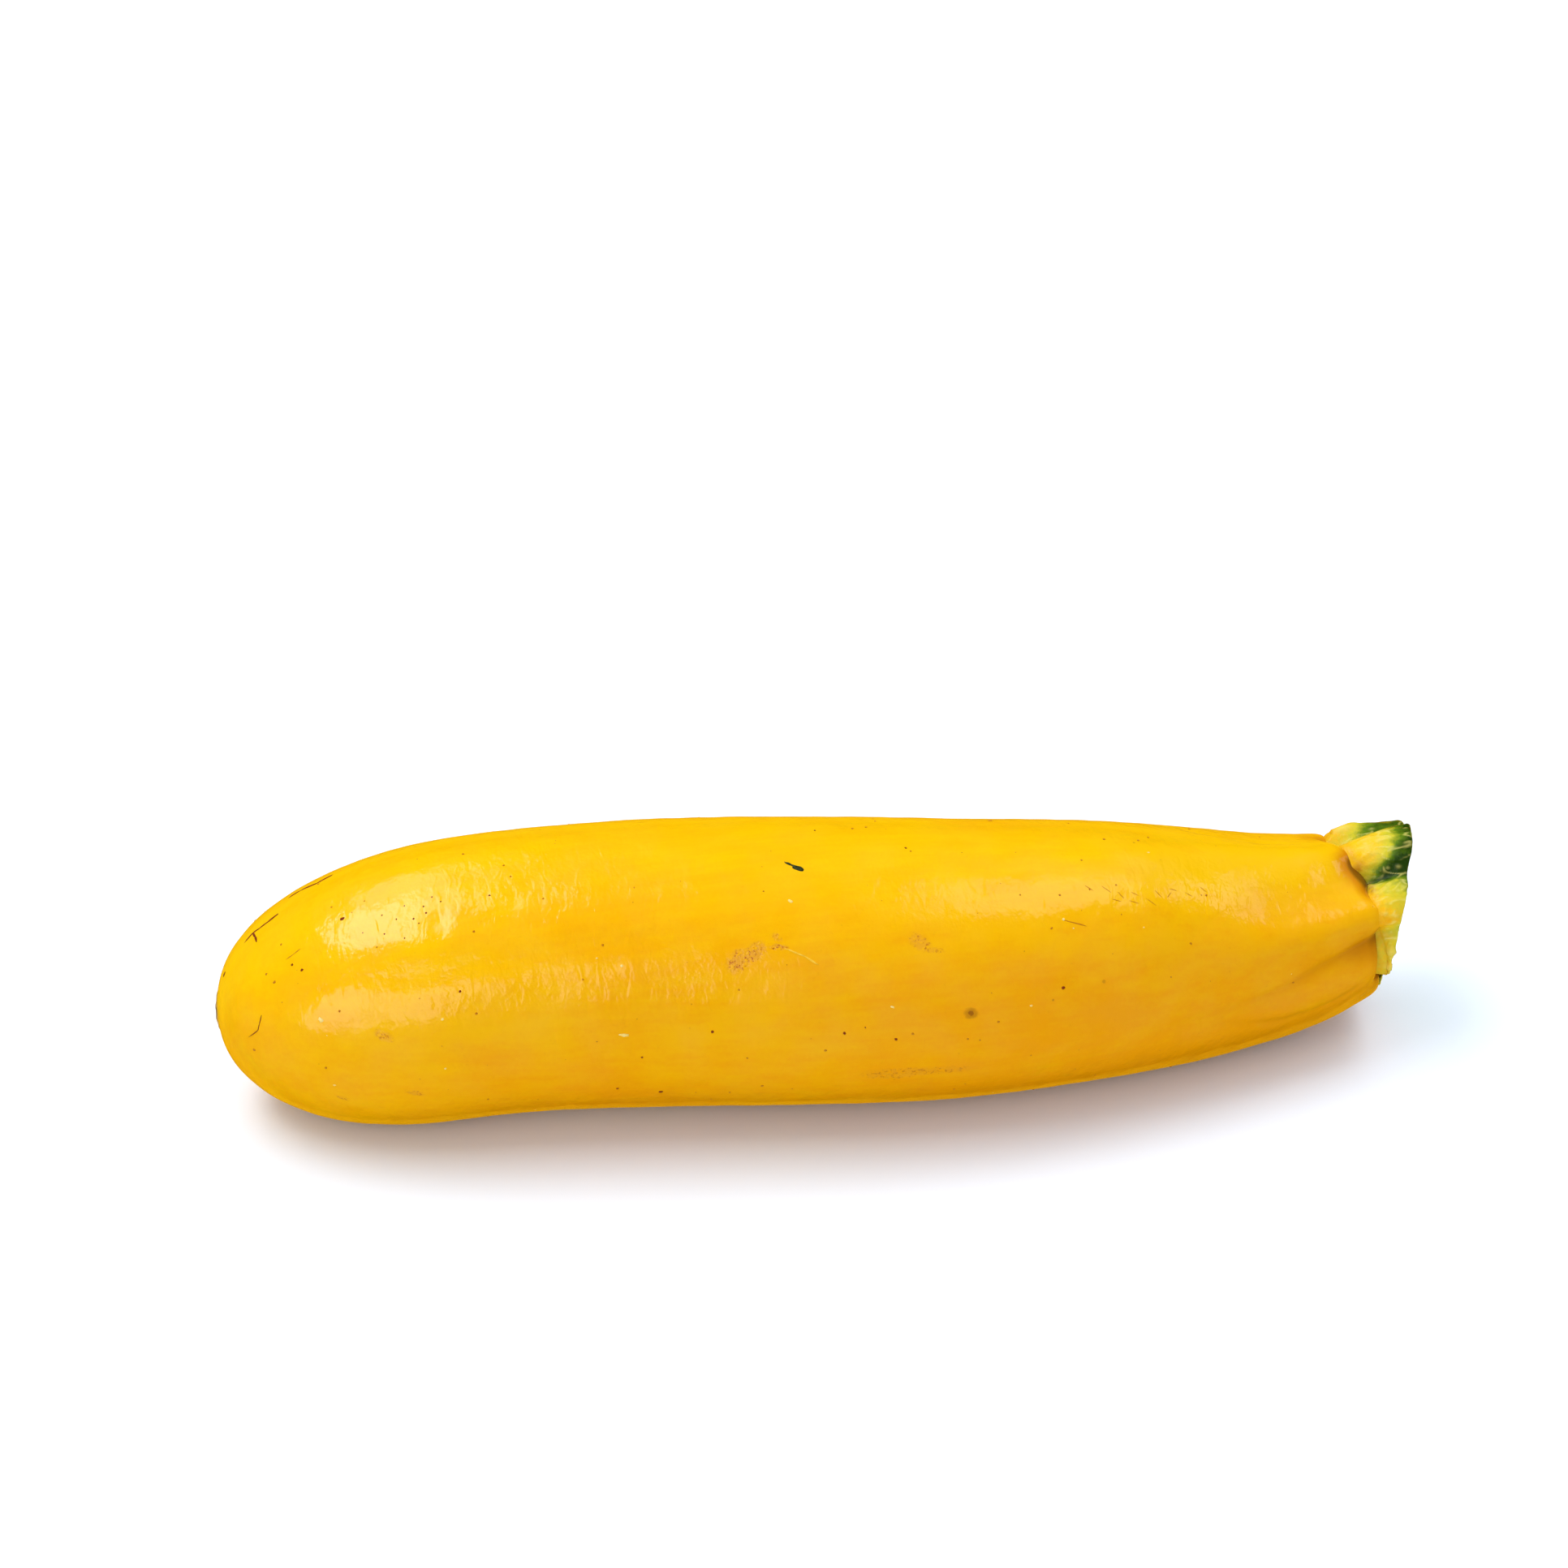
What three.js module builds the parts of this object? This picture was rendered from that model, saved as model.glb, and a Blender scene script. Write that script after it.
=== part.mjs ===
// A yellow zucchini lying on its belly, as picked: the fruit, and the ribbed stub of stem it was cut from.
//
// Millimetres, +Z up. +X runs from the blossom end to the stem end. The origin is on the ground, under the
// middle of the whole object.

import * as THREE from 'three';
import { LoftGeometry } from 'three/addons/geometries/LoftGeometry.js';

// --- Driving dimensions -----------------------------------------------------------------------------------

// The body of the fruit, at a few places along it. s is the distance from the blossom tip, and radius is the
// girth's radius there. side and height are the middle of the section, because the fruit grew slightly bowed.
const BODY_STATIONS = [
  { s: 0, radius: 23.4, side: -0.2, height: 18.2 },
  { s: 17, radius: 23.3, side: -1.6, height: 19.9 },
  { s: 47, radius: 23.3, side: -3.2, height: 23.2 },
  { s: 70, radius: 23.8, side: -5.2, height: 23.9 },
  { s: 95, radius: 23.9, side: -8.4, height: 23.9 },
  { s: 121, radius: 23.1, side: -10.4, height: 23.0 },
  { s: 147, radius: 21.4, side: -9.0, height: 21.3 },
  { s: 166, radius: 19.1, side: -6.2, height: 19.3 },
  { s: 181, radius: 16.3, side: -4.0, height: 18.7 },
  { s: 192.6, radius: 13.3, side: -2.4, height: 20.1 },
];

// The blossom end closes in a blunt nose: a superellipse of this length and power.
const NOSE_LENGTH = 40;
const NOSE_POWER = 2.15;
// Flat corky scar that the blossom left on the tip.
const SCAR_RADIUS = 3;

// The belly is pressed flat where the fruit lay on the soil: this much of the round is missing there.
const BELLY_FLAT = 0.35;

// Ribs of the stem, as angles around the axis in degrees: 0 points to +Y and 90 points up.
const RIB_ANGLES = [46, 98, 145, 193, 245, 300, 354];
// Each rib runs on into the fruit as a ridge, which fades out over this length. Its half width is in degrees.
const RIDGE_HEIGHT = 0.9;
const RIDGE_HALF_WIDTH = 14;
const RIDGE_LENGTH = 62;

// Where the fruit ends and the stem's foot stands on it: the plane's pitch (leaning back) and yaw (turned
// towards +Y), in degrees, and the middle of each piece's outline there.
const SEAT = { x: 192.6, y: -2.4, z: 20.1, pitch: 12, yaw: 6 };
const STEM_FOOT = { y: -2.2, z: 20.5 };
// Hairline between the two solids.
const SEAM_GAP = 0.3;
// The fruit's sections lean over from upright to the lean of the seat along this length.
const LEAN_LENGTH = 45;

// The knife cut at the stem's end, at its own slant.
const STEM_CUT = { x: 198.4, y: -2.2, z: 20.7, pitch: -10, yaw: -11 };
// The ribs' crests lie on this radius, and the grooves between them deepen from the foot to the cut.
const STEM_CREST_RADIUS = 13.6;
const STEM_FOOT_GROOVE = 1.2;
const STEM_CUT_GROOVE = 2.4;
// A higher power gives rounder ribs with sharper grooves.
const RIB_ROUNDNESS = 2.4;

// Faces around and along each solid.
const FRUIT_SIDES = 48;
const NOSE_STEPS = 13;
const BODY_STEPS = 24;
const STEM_SIDES = 84;
const STEM_STEPS = 6;

// --- Shape functions --------------------------------------------------------------------------------------

const { clamp, degToRad, euclideanModulo, lerp, smoothstep } = THREE.MathUtils;

// Smooth curve through the body stations, giving radius, side and height at any s.
const bodyCurve = new THREE.CubicInterpolant(
  BODY_STATIONS.map((station) => station.s),
  BODY_STATIONS.flatMap((station) => [station.radius, station.side, station.height]),
  3,
);

// Share of the full girth that the nose leaves at a distance s from the tip.
function noseShare(s) {
  const fromShoulder = clamp(1 - s / NOSE_LENGTH, 0, 1);
  return (1 - fromShoulder ** NOSE_POWER) ** (1 / NOSE_POWER);
}

// Distance from the tip at which the nose has opened to the given share of the girth.
function noseDepth(share) {
  return NOSE_LENGTH * (1 - (1 - share ** NOSE_POWER) ** (1 / NOSE_POWER));
}

// Signed difference between two angles in degrees, from -180 to 180.
function angleBetween(a, b) {
  return euclideanModulo(a - b + 180, 360) - 180;
}

// Height of the ridges at one place on the fruit.
function ridgeHeight(s, angle) {
  const fade = smoothstep(s, SEAT.x - RIDGE_LENGTH, SEAT.x);
  const bumps = RIB_ANGLES.map((rib) => Math.exp(-((angleBetween(angle, rib) / RIDGE_HALF_WIDTH) ** 2)));
  return RIDGE_HEIGHT * fade * (Math.max(...bumps) - 0.5);
}

// Depth of the groove beside the ribs: 0 on a rib's crest and 1 in the valley between two ribs.
function grooveShare(angle) {
  const offsets = RIB_ANGLES.map((rib) => euclideanModulo(angle - rib, 360));
  const behind = Math.min(...offsets);
  const ahead = 360 - Math.max(...offsets);
  const toCrest = (2 * Math.min(ahead, behind)) / (ahead + behind);
  return toCrest ** RIB_ROUNDNESS;
}

// How far a leaning plane has gone back towards -X at a place across and up from its middle.
function leanOf(plane, across, up) {
  return across * Math.tan(degToRad(plane.yaw)) + up * Math.tan(degToRad(plane.pitch));
}

// One ring of points on a leaning plane, radiusAt giving the radius at each angle around the plane's middle.
// The points run counterclockwise as seen from the stem end.
function ring(plane, sides, radiusAt) {
  const points = [];
  for (let i = 0; i < sides; i += 1) {
    const angle = (360 * i) / sides;
    const across = radiusAt(angle) * Math.cos(degToRad(angle));
    const up = radiusAt(angle) * Math.sin(degToRad(angle));
    points.push(new THREE.Vector3(plane.x - leanOf(plane, across, up), plane.y + across, plane.z + up));
  }
  return points;
}

// Section of the fruit at s, with its belly pressed flat.
function fruitSection(s) {
  const [radius, side, height] = bodyCurve.evaluate(s);
  const lean = smoothstep(s, SEAT.x - LEAN_LENGTH, SEAT.x);
  const plane = { x: s, y: side, z: height, pitch: lean * SEAT.pitch, yaw: lean * SEAT.yaw };
  const girth = radius * noseShare(s);
  const points = ring(plane, FRUIT_SIDES, (angle) => girth + ridgeHeight(s, angle));
  points.forEach((point) => {
    point.z = Math.max(point.z, BELLY_FLAT);
  });
  return points;
}

// --- The two pieces ---------------------------------------------------------------------------------------

// The fruit: blossom scar, nose, body and the seat of the stem.
function makeFruit() {
  // Along the nose the sections are spaced as on a quarter circle, so they are close where it is blunt.
  const places = [];
  const scarDepth = noseDepth(SCAR_RADIUS / BODY_STATIONS[0].radius);
  const scarTurn = Math.acos(1 - scarDepth / NOSE_LENGTH);
  for (let i = 0; i <= NOSE_STEPS; i += 1) {
    const turn = lerp(scarTurn, Math.PI / 2, i / NOSE_STEPS);
    places.push(NOSE_LENGTH * (1 - Math.cos(turn)));
  }
  for (let i = 1; i <= BODY_STEPS; i += 1) {
    places.push(lerp(NOSE_LENGTH, SEAT.x, i / BODY_STEPS));
  }
  const geometry = new LoftGeometry(places.map(fruitSection), { capStart: true, capEnd: true });
  const skin = new THREE.MeshStandardMaterial({ color: 0xf4b909, roughness: 0.4, metalness: 0 });
  const fruit = new THREE.Mesh(geometry, skin);
  fruit.name = 'fruit';
  return fruit;
}

// The stem: a short ribbed stub, longer on top than below, ending in a knife cut.
function makeStem() {
  // The foot lies in the seat's plane, a hairline off it, though its middle is elsewhere on that plane.
  const leanAtFoot = leanOf(SEAT, STEM_FOOT.y - SEAT.y, STEM_FOOT.z - SEAT.z);
  const foot = { ...SEAT, ...STEM_FOOT, x: SEAT.x + SEAM_GAP - leanAtFoot };
  const sections = [];
  for (let i = 0; i <= STEM_STEPS; i += 1) {
    const along = i / STEM_STEPS;
    const plane = {};
    Object.keys(foot).forEach((key) => {
      plane[key] = lerp(foot[key], STEM_CUT[key], along);
    });
    const groove = lerp(STEM_FOOT_GROOVE, STEM_CUT_GROOVE, along);
    sections.push(ring(plane, STEM_SIDES, (angle) => STEM_CREST_RADIUS - groove * grooveShare(angle)));
  }
  const geometry = new LoftGeometry(sections, { capStart: true, capEnd: true });
  const rind = new THREE.MeshStandardMaterial({ color: 0x7f9a2c, roughness: 0.55, metalness: 0 });
  const stem = new THREE.Mesh(geometry, rind);
  stem.name = 'stem';
  return stem;
}

// --- Assembly ---------------------------------------------------------------------------------------------

const zucchini = new THREE.Group();
zucchini.add(makeFruit(), makeStem());

// Stand the belly on the ground and centre the whole over the origin.
const extent = new THREE.Box3().setFromObject(zucchini, true);
const centre = extent.getCenter(new THREE.Vector3());
zucchini.position.set(-centre.x, -centre.y, -extent.min.z);

export default zucchini;
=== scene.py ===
"""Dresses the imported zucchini: its waxy yellow skin, the blossom scar and the ribbed green stub of stem.

Sizes are in millimetres, and turned into metres when a mesh is made. A place on the skin is given as its
distance s from the blossom tip and its angle round the fruit: 90 points up, and 180 to the front.
"""

import logging
import math
from collections.abc import Sequence
from dataclasses import dataclass
from enum import Enum

import bpy
import numpy as np
from mathutils import Matrix, Vector, noise


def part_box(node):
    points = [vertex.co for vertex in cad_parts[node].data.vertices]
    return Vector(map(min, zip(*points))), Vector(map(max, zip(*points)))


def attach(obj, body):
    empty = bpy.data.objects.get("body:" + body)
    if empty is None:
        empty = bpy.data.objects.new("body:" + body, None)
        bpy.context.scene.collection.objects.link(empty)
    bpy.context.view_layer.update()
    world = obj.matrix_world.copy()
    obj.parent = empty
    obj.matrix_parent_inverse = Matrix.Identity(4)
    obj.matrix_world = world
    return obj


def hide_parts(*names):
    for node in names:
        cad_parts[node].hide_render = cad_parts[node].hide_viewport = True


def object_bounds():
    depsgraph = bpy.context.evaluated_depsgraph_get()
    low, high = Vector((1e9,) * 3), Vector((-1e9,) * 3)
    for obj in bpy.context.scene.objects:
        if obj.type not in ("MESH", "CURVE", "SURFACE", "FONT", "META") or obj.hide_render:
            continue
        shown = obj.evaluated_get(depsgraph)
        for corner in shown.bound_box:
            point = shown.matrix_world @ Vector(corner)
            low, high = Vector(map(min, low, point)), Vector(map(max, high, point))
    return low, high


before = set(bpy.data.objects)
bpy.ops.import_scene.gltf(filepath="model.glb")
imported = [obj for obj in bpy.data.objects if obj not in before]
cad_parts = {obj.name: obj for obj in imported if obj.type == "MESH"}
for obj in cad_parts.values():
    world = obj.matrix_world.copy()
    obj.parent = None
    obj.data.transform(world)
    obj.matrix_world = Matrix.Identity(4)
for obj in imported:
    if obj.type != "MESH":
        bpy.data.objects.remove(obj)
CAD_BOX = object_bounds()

LOG = logging.getLogger("zucchini")
MM = 0.001
Array = np.ndarray
Socket = bpy.types.NodeSocket
# s and angle of a place on the skin, or the two ends of a range.
Pair = tuple[float, float]
Triple = tuple[float, float, float]
Colour = Triple


# --- Laws of growth ---------------------------------------------------------------------------------------


def smoothstep(values: Array | float, start: float, end: float) -> Array:
    """Goes smoothly from 0 at start to 1 at end.

    Args:
        values: where to read the step.
        start: the value at which it leaves 0.
        end: the value at which it reaches 1.

    Returns:
        The step's height at each value.
    """
    share = np.clip((np.asarray(values, float) - start) / (end - start), 0.0, 1.0)
    return share * share * (3.0 - 2.0 * share)


def eased(values: Array, knots: Sequence[float], heights: Sequence[float]) -> Array:
    """Goes from height to height with a level start and end at each knot.

    Args:
        values: where to read the curve.
        knots: rising positions.
        heights: the curve's height at each knot.

    Returns:
        The curve's height at each value, level beyond the first and last knot.
    """
    position = np.interp(values, knots, np.arange(len(knots), dtype=float))
    step = np.clip(np.floor(position).astype(int), 0, len(knots) - 2)
    share = smoothstep(position - step, 0.0, 1.0)
    level = np.asarray(heights, float)
    return level[step] + (level[step + 1] - level[step]) * share


def threaded(knots: Sequence[float], table: Array, at: Array) -> Array:
    """Smooth curve through the rows of a table.

    Args:
        knots: rising position of each row.
        table: one row of values for each knot.
        at: where to read the curve.

    Returns:
        The values at each position, in a last axis.
    """
    places = np.asarray(knots, float)
    chords = np.diff(table, axis=0) / np.diff(places)[:, None]
    slopes = np.vstack((chords[:1], 0.5 * (chords[1:] + chords[:-1]), chords[-1:]))
    step = np.clip(np.searchsorted(places, at, side="right") - 1, 0, len(places) - 2)
    span = (places[step + 1] - places[step])[..., None]
    share = (np.asarray(at, float)[..., None] - places[step][..., None]) / span
    square, cube = share**2, share**3
    return (
        (2 * cube - 3 * square + 1) * table[step]
        + (cube - 2 * square + share) * span * slopes[step]
        + (3 * square - 2 * cube) * table[step + 1]
        + (cube - square) * span * slopes[step + 1]
    )


def between(a: Array | float, b: Array | float) -> Array:
    """Signed difference between two angles in degrees, from -180 to 180."""
    return (np.asarray(a, float) - b + 180.0) % 360.0 - 180.0


def bell(values: Array, width: Array | float, middle: float = 0.0) -> Array:
    """1 at the middle, and less on either side of it: 0.37 one width away."""
    return np.exp(-(((values - middle) / width) ** 2))


def clouds(points: Array, size: float, shift: float, stretch: float = 1.0) -> Array:
    """Soft random lumps in space.

    Args:
        points: places in millimetres, with x, y and z last.
        size: rough distance from lump to lump, in millimetres.
        shift: moves the pattern, so that two calls differ.
        stretch: how many times longer the lumps are along X.

    Returns:
        A value from about -1 to 1 for each place.
    """
    scaled = points.reshape(-1, 3) / np.array((size * stretch, size, size)) + shift
    values = [noise.noise(Vector(place)) for place in scaled]
    return np.array(values).reshape(points.shape[:-1])


def outward(points: Array) -> Array:
    """Unit normals of a closed grid of points.

    Args:
        points: rows of rings, each ring counterclockwise as seen from the end.

    Returns:
        One normal for each point, pointing out.
    """
    along = np.gradient(points, axis=0)
    around = np.roll(points, -1, axis=1) - np.roll(points, 1, axis=1)
    normal = np.cross(around, along)
    return normal / np.maximum(np.linalg.norm(normal, axis=-1, keepdims=True), 1e-9)


@dataclass(frozen=True)
class Station:
    """The body's girth radius and the middle of its section, at a distance s from the blossom tip."""

    s: float
    radius: float
    side: float
    height: float


@dataclass(frozen=True)
class BodyCurve:
    """Smooth curve through the body's stations."""

    stations: tuple[Station, ...]

    def evaluate(self, s: Array) -> tuple[Array, Array, Array]:
        """Reads the curve.

        Args:
            s: distances from the tip.

        Returns:
            The radius, the side and the height at each distance.
        """
        knots = [station.s for station in self.stations]
        table = np.array([(one.radius, one.side, one.height) for one in self.stations])
        values = threaded(knots, table, s)
        return values[..., 0], values[..., 1], values[..., 2]


@dataclass(frozen=True)
class Slant:
    """A leaning plane: a point of it, and its lean back (pitch) and turn towards +Y (yaw) in degrees."""

    x: float
    y: float
    z: float
    pitch: float
    yaw: float

    def towards(self, other: "Slant", share: Array) -> tuple[Array, ...]:
        """The planes that lie between this one and another.

        Args:
            other: the other plane.
            share: how far along each lies, from 0 on this one to 1 on the other.

        Returns:
            The x, y, z, pitch and yaw of each.
        """
        start = (self.x, self.y, self.z, self.pitch, self.yaw)
        end = (other.x, other.y, other.z, other.pitch, other.yaw)
        return tuple(a + (b - a) * share for a, b in zip(start, end))


def lay_ring(x: Array, y: Array, z: Array, pitch: Array, yaw: Array, radius: Array, angle: Array) -> Array:
    """Points at a radius and angle on leaning planes.

    Args:
        x: where each plane's middle is along the fruit.
        y: where it is across.
        z: its height.
        pitch: lean back, in degrees.
        yaw: turn towards +Y, in degrees.
        radius: distance from the middle, in the view along X.
        angle: angle round the middle, in degrees.

    Returns:
        The points, with x, y and z last.
    """
    across = radius * np.cos(np.radians(angle))
    up = radius * np.sin(np.radians(angle))
    lean = across * np.tan(np.radians(yaw)) + up * np.tan(np.radians(pitch))
    return np.stack(np.broadcast_arrays(x - lean, y + across, z + up), axis=-1)


@dataclass(frozen=True)
class Ribs:
    """The stem's ribs, and the ridges that they run on into the fruit as."""

    angles: tuple[float, ...] = (46, 98, 145, 193, 245, 300, 354)
    ridge_height: float = 0.9
    ridge_half_width: float = 14
    ridge_length: float = 62

    def ridge(self, s: Array, angle: Array, seat: float) -> Array:
        """Height of the ridges on the fruit.

        Args:
            s: distances from the tip.
            angle: angles round the fruit.
            seat: where the fruit ends.

        Returns:
            The rise at each place, below 0 between the ribs.
        """
        fade = smoothstep(s, seat - self.ridge_length, seat)
        bumps = [bell(between(angle, rib), self.ridge_half_width) for rib in self.angles]
        return self.ridge_height * fade * (np.max(bumps, axis=0) - 0.5)


class FoldEdge(Enum):
    """How a fold meets the skin round it."""

    ROUND = "round"
    SHARP = "sharp"


# Radius at the bottom of a sharp fold.
CREASE_ROUNDING = 0.25


@dataclass(frozen=True)
class Fold:
    """A ridge or crease along the skin: its path, the rise along it and its half width on either side."""

    path: tuple[Pair, ...]
    rise: tuple[float, ...]
    upper: float
    lower: float
    edge: FoldEdge = FoldEdge.ROUND

    def relief(self, s: Array, angle: Array, radius: Array) -> Array:
        """How far the fold lifts the skin.

        Args:
            s: distances from the tip.
            angle: angles round the fruit.
            radius: the fruit's radius there.

        Returns:
            The rise in millimetres at each place, below 0 in a crease.
        """
        knots = [place[0] for place in self.path]
        middle = np.interp(s, knots, [place[1] for place in self.path])
        height = eased(s, knots, self.rise)
        across = np.radians(between(angle, middle)) * radius
        width = np.where(across < 0, self.upper, self.lower)
        if self.edge is FoldEdge.SHARP:
            distance = np.sqrt(across**2 + CREASE_ROUNDING**2) - CREASE_ROUNDING
            return height * np.exp(-distance / width)
        return height * bell(across, width)


@dataclass(frozen=True)
class Dent:
    """A round dent or swelling of the skin: its place, its half width in millimetres and its rise."""

    s: float
    angle: float
    reach: float
    rise: float

    def share(self, s: Array, angle: Array, radius: Array) -> Array:
        """1 in its middle, fading to 0 round it."""
        across = np.radians(between(angle, self.angle)) * radius
        return np.exp(-((s - self.s) ** 2 + across**2) / self.reach**2)


# --- Meshes -----------------------------------------------------------------------------------------------


def new_piece(name: str, points: Array, faces: list[list[int]]) -> bpy.types.Object:
    """Makes a smooth mesh object.

    Args:
        name: name of the piece.
        points: places in millimetres.
        faces: indices of each face's points.

    Returns:
        The object, at the origin.
    """
    mesh = bpy.data.meshes.new(name)
    mesh.from_pydata((points * MM).tolist(), [], faces)
    mesh.shade_smooth()
    mesh.validate()
    piece = bpy.data.objects.new(name, mesh)
    bpy.context.collection.objects.link(piece)
    return piece


@dataclass
class RoundSkin:
    """Rings of points closed into one skin, with a fan of faces at each end."""

    rings: Array
    first: Array
    last: Array
    layers: dict[str, Array]

    def build(self, name: str) -> bpy.types.Object:
        """Makes the mesh object.

        Args:
            name: name of the piece.

        Returns:
            The object, at the origin, with its layers as point attributes.
        """
        rows, columns = self.rings.shape[:2]
        points = np.vstack((self.rings.reshape(-1, 3), self.first[None], self.last[None]))
        index = np.arange(rows * columns).reshape(rows, columns)
        after = np.roll(index, -1, axis=1)
        sides = np.stack((index[:-1], after[:-1], after[1:], index[1:]), axis=-1).reshape(-1, 4)
        start = np.stack((np.full(columns, rows * columns), after[0], index[0]), axis=-1)
        end = np.stack((np.full(columns, rows * columns + 1), index[-1], after[-1]), axis=-1)
        piece = new_piece(name, points, sides.tolist() + start.tolist() + end.tolist())
        for layer, values in self.layers.items():
            attribute = piece.data.attributes.new(layer, "FLOAT", "POINT")
            full = np.concatenate((values.ravel(), (values[0].mean(), values[-1].mean())))
            attribute.data.foreach_set("value", full.astype(np.float32))
        return piece


@dataclass
class Ground:
    """The finished skin as a place to set marks on."""

    s: Array
    rings: Array

    def __post_init__(self) -> None:
        """Works out the skin's directions once."""
        self.normals = outward(self.rings)

    def read(self, grid: Array, s: Array, angle: Array) -> Array:
        """Reads a grid between its points.

        Args:
            grid: values for each ring and column, with x, y and z last.
            s: distances from the tip.
            angle: angles round the fruit.

        Returns:
            The value at each place.
        """
        columns = grid.shape[1]
        row = np.interp(s, self.s, np.arange(len(self.s), dtype=float))
        column = (np.asarray(angle, float) % 360.0) / 360.0 * columns
        r = np.clip(np.floor(row).astype(int), 0, len(self.s) - 2)
        c = np.floor(column).astype(int) % columns
        v = (row - r)[..., None]
        u = (column - np.floor(column))[..., None]
        near = grid[r, c] * (1 - u) + grid[r, (c + 1) % columns] * u
        far = grid[r + 1, c] * (1 - u) + grid[r + 1, (c + 1) % columns] * u
        return near * (1 - v) + far * v

    def points(self, s: Array, angle: Array, lift: Array | float = 0.0) -> Array:
        """Places on the skin, or a lift above it."""
        out = self.read(self.normals, s, angle)
        return self.read(self.rings, s, angle) + out * np.asarray(lift)[..., None]

    def frame_at(self, s: float, angle: float, heading: float) -> Matrix:
        """Directions of a place on the skin.

        Args:
            s: distance from the tip.
            angle: angle round the fruit.
            heading: degrees from +X towards rising angles.

        Returns:
            A matrix with the directions along the heading, across it and out, and the place in metres.
        """
        step, swing = 0.5, 1.5
        spots = self.points(np.array([s, s + step, s]), np.array([angle, angle, angle + swing]))
        here, on, beside = (Vector(spot) for spot in spots)
        forward = (on - here).normalized()
        out = (beside - here).cross(on - here).normalized()
        sideways = forward.cross(out) * -1.0
        if sideways.dot(beside - here) < 0:
            sideways = -sideways
        turn = math.radians(heading)
        first = forward * math.cos(turn) + sideways * math.sin(turn)
        directions = Matrix((first, out.cross(first), out)).transposed().to_4x4()
        directions.translation = here * MM
        return directions


# --- Materials --------------------------------------------------------------------------------------------


class NodeBench:
    """Makes and wires the nodes of one material."""

    def __init__(self, name: str) -> None:
        """Starts a material with nothing but its output.

        Args:
            name: name of the material.
        """
        self.material = bpy.data.materials.new(name)
        self.material.use_nodes = True
        self.tree = self.material.node_tree
        self.tree.nodes.clear()
        self.output = self.tree.nodes.new("ShaderNodeOutputMaterial")

    def add(self, kind: str, inputs: dict | None = None, **settings: object) -> bpy.types.Node:
        """Adds a node.

        Args:
            kind: the node's type, without its ShaderNode prefix.
            inputs: values or sockets for its inputs, by name or index.
            **settings: the node's own properties.

        Returns:
            The node.
        """
        node = self.tree.nodes.new("ShaderNode" + kind)
        for setting, value in settings.items():
            setattr(node, setting, value)
        for key, value in (inputs or {}).items():
            if isinstance(value, Socket):
                self.tree.links.new(value, node.inputs[key])
            else:
                node.inputs[key].default_value = value
        return node

    def finish(self, inputs: dict) -> bpy.types.Material:
        """Gives the material its one shader.

        Args:
            inputs: values or sockets for the shader's inputs, by name.

        Returns:
            The finished material.
        """
        shader = self.add("BsdfPrincipled", inputs)
        self.tree.links.new(shader.outputs[0], self.output.inputs[0])
        return self.material

    def bump(self, height: Socket, depth: float) -> Socket:
        """The relief of a height, of which 1 stands for a depth in millimetres."""
        return self.add("Bump", {"Strength": 1.0, "Distance": depth * MM, "Height": height}).outputs[0]

    def math(self, operation: str, *values: object) -> Socket:
        """The result of a Math node on numbers or sockets."""
        return self.add("Math", dict(enumerate(values)), operation=operation).outputs[0]

    def times(self, one: object, other: object) -> Socket:
        """The product of two numbers or sockets."""
        return self.math("MULTIPLY", one, other)

    def total(self, *parts: tuple[Socket, float]) -> Socket:
        """Adds up values.

        Args:
            *parts: each value, and the weight it is multiplied by.

        Returns:
            The sum.
        """
        (first, weight), *others = parts
        result = self.times(first, weight)
        for value, weight in others:
            result = self.math("MULTIPLY_ADD", value, weight, result)
        return result

    def span(self, value: object, low: float, high: float, to: Pair = (0.0, 1.0)) -> Socket:
        """A smooth step of a value from low to high, onto another range."""
        inputs = {"Value": value, "From Min": low, "From Max": high, "To Min": to[0], "To Max": to[1]}
        return self.add("MapRange", inputs, interpolation_type="SMOOTHSTEP").outputs[0]

    def mix(self, share: object, base: object, top: object) -> Socket:
        """Mixes two colours.

        Args:
            share: how much of the top colour shows.
            base: colour or socket below.
            top: colour or socket above.

        Returns:
            The mixed colour.
        """
        inputs = {0: share, 6: self.rgba(base), 7: self.rgba(top)}
        return self.add("Mix", inputs, data_type="RGBA", clamp_factor=True).outputs[2]

    @staticmethod
    def rgba(colour: object) -> object:
        """A colour with its alpha, or a socket as it is."""
        return (*colour, 1.0) if isinstance(colour, tuple) else colour

    def layer(self, name: str) -> Socket:
        """A layer of the mesh as a number."""
        return self.add("Attribute", attribute_name=name).outputs["Fac"]

    def places(self) -> Socket:
        """Places on the piece, in millimetres."""
        place = self.add("TexCoord").outputs["Object"]
        return self.add("VectorMath", {0: place, "Scale": 1 / MM}, operation="SCALE").outputs[0]

    def stretched(self, places: Socket, factors: Triple) -> Socket:
        """Places scaled by a factor along each axis."""
        return self.add("VectorMath", {0: places, 1: factors}, operation="MULTIPLY").outputs[0]

    def grain(self, places: Socket, scale: float, detail: float = 2.0, rough: float = 0.5) -> Socket:
        """Noise from 0 to 1.

        Args:
            places: where it is read.
            scale: lumps to the millimetre.
            detail: how many finer layers it has.
            rough: how strong the finer layers are.

        Returns:
            The noise.
        """
        inputs = {"Vector": places, "Scale": scale, "Detail": detail, "Roughness": rough}
        return self.add("TexNoise", inputs).outputs[0]


class MarkKind(Enum):
    """What a mark on the skin is."""

    SPECK = "dark speck"
    FAINT = "faint speck"
    PALE = "pale speck"
    SCUFF = "tan scuff"
    SCRATCH = "dark scratch"
    THREAD = "pale healed scratch"
    SPOT = "brown spot"
    CHIP = "dark green chip"


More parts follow.
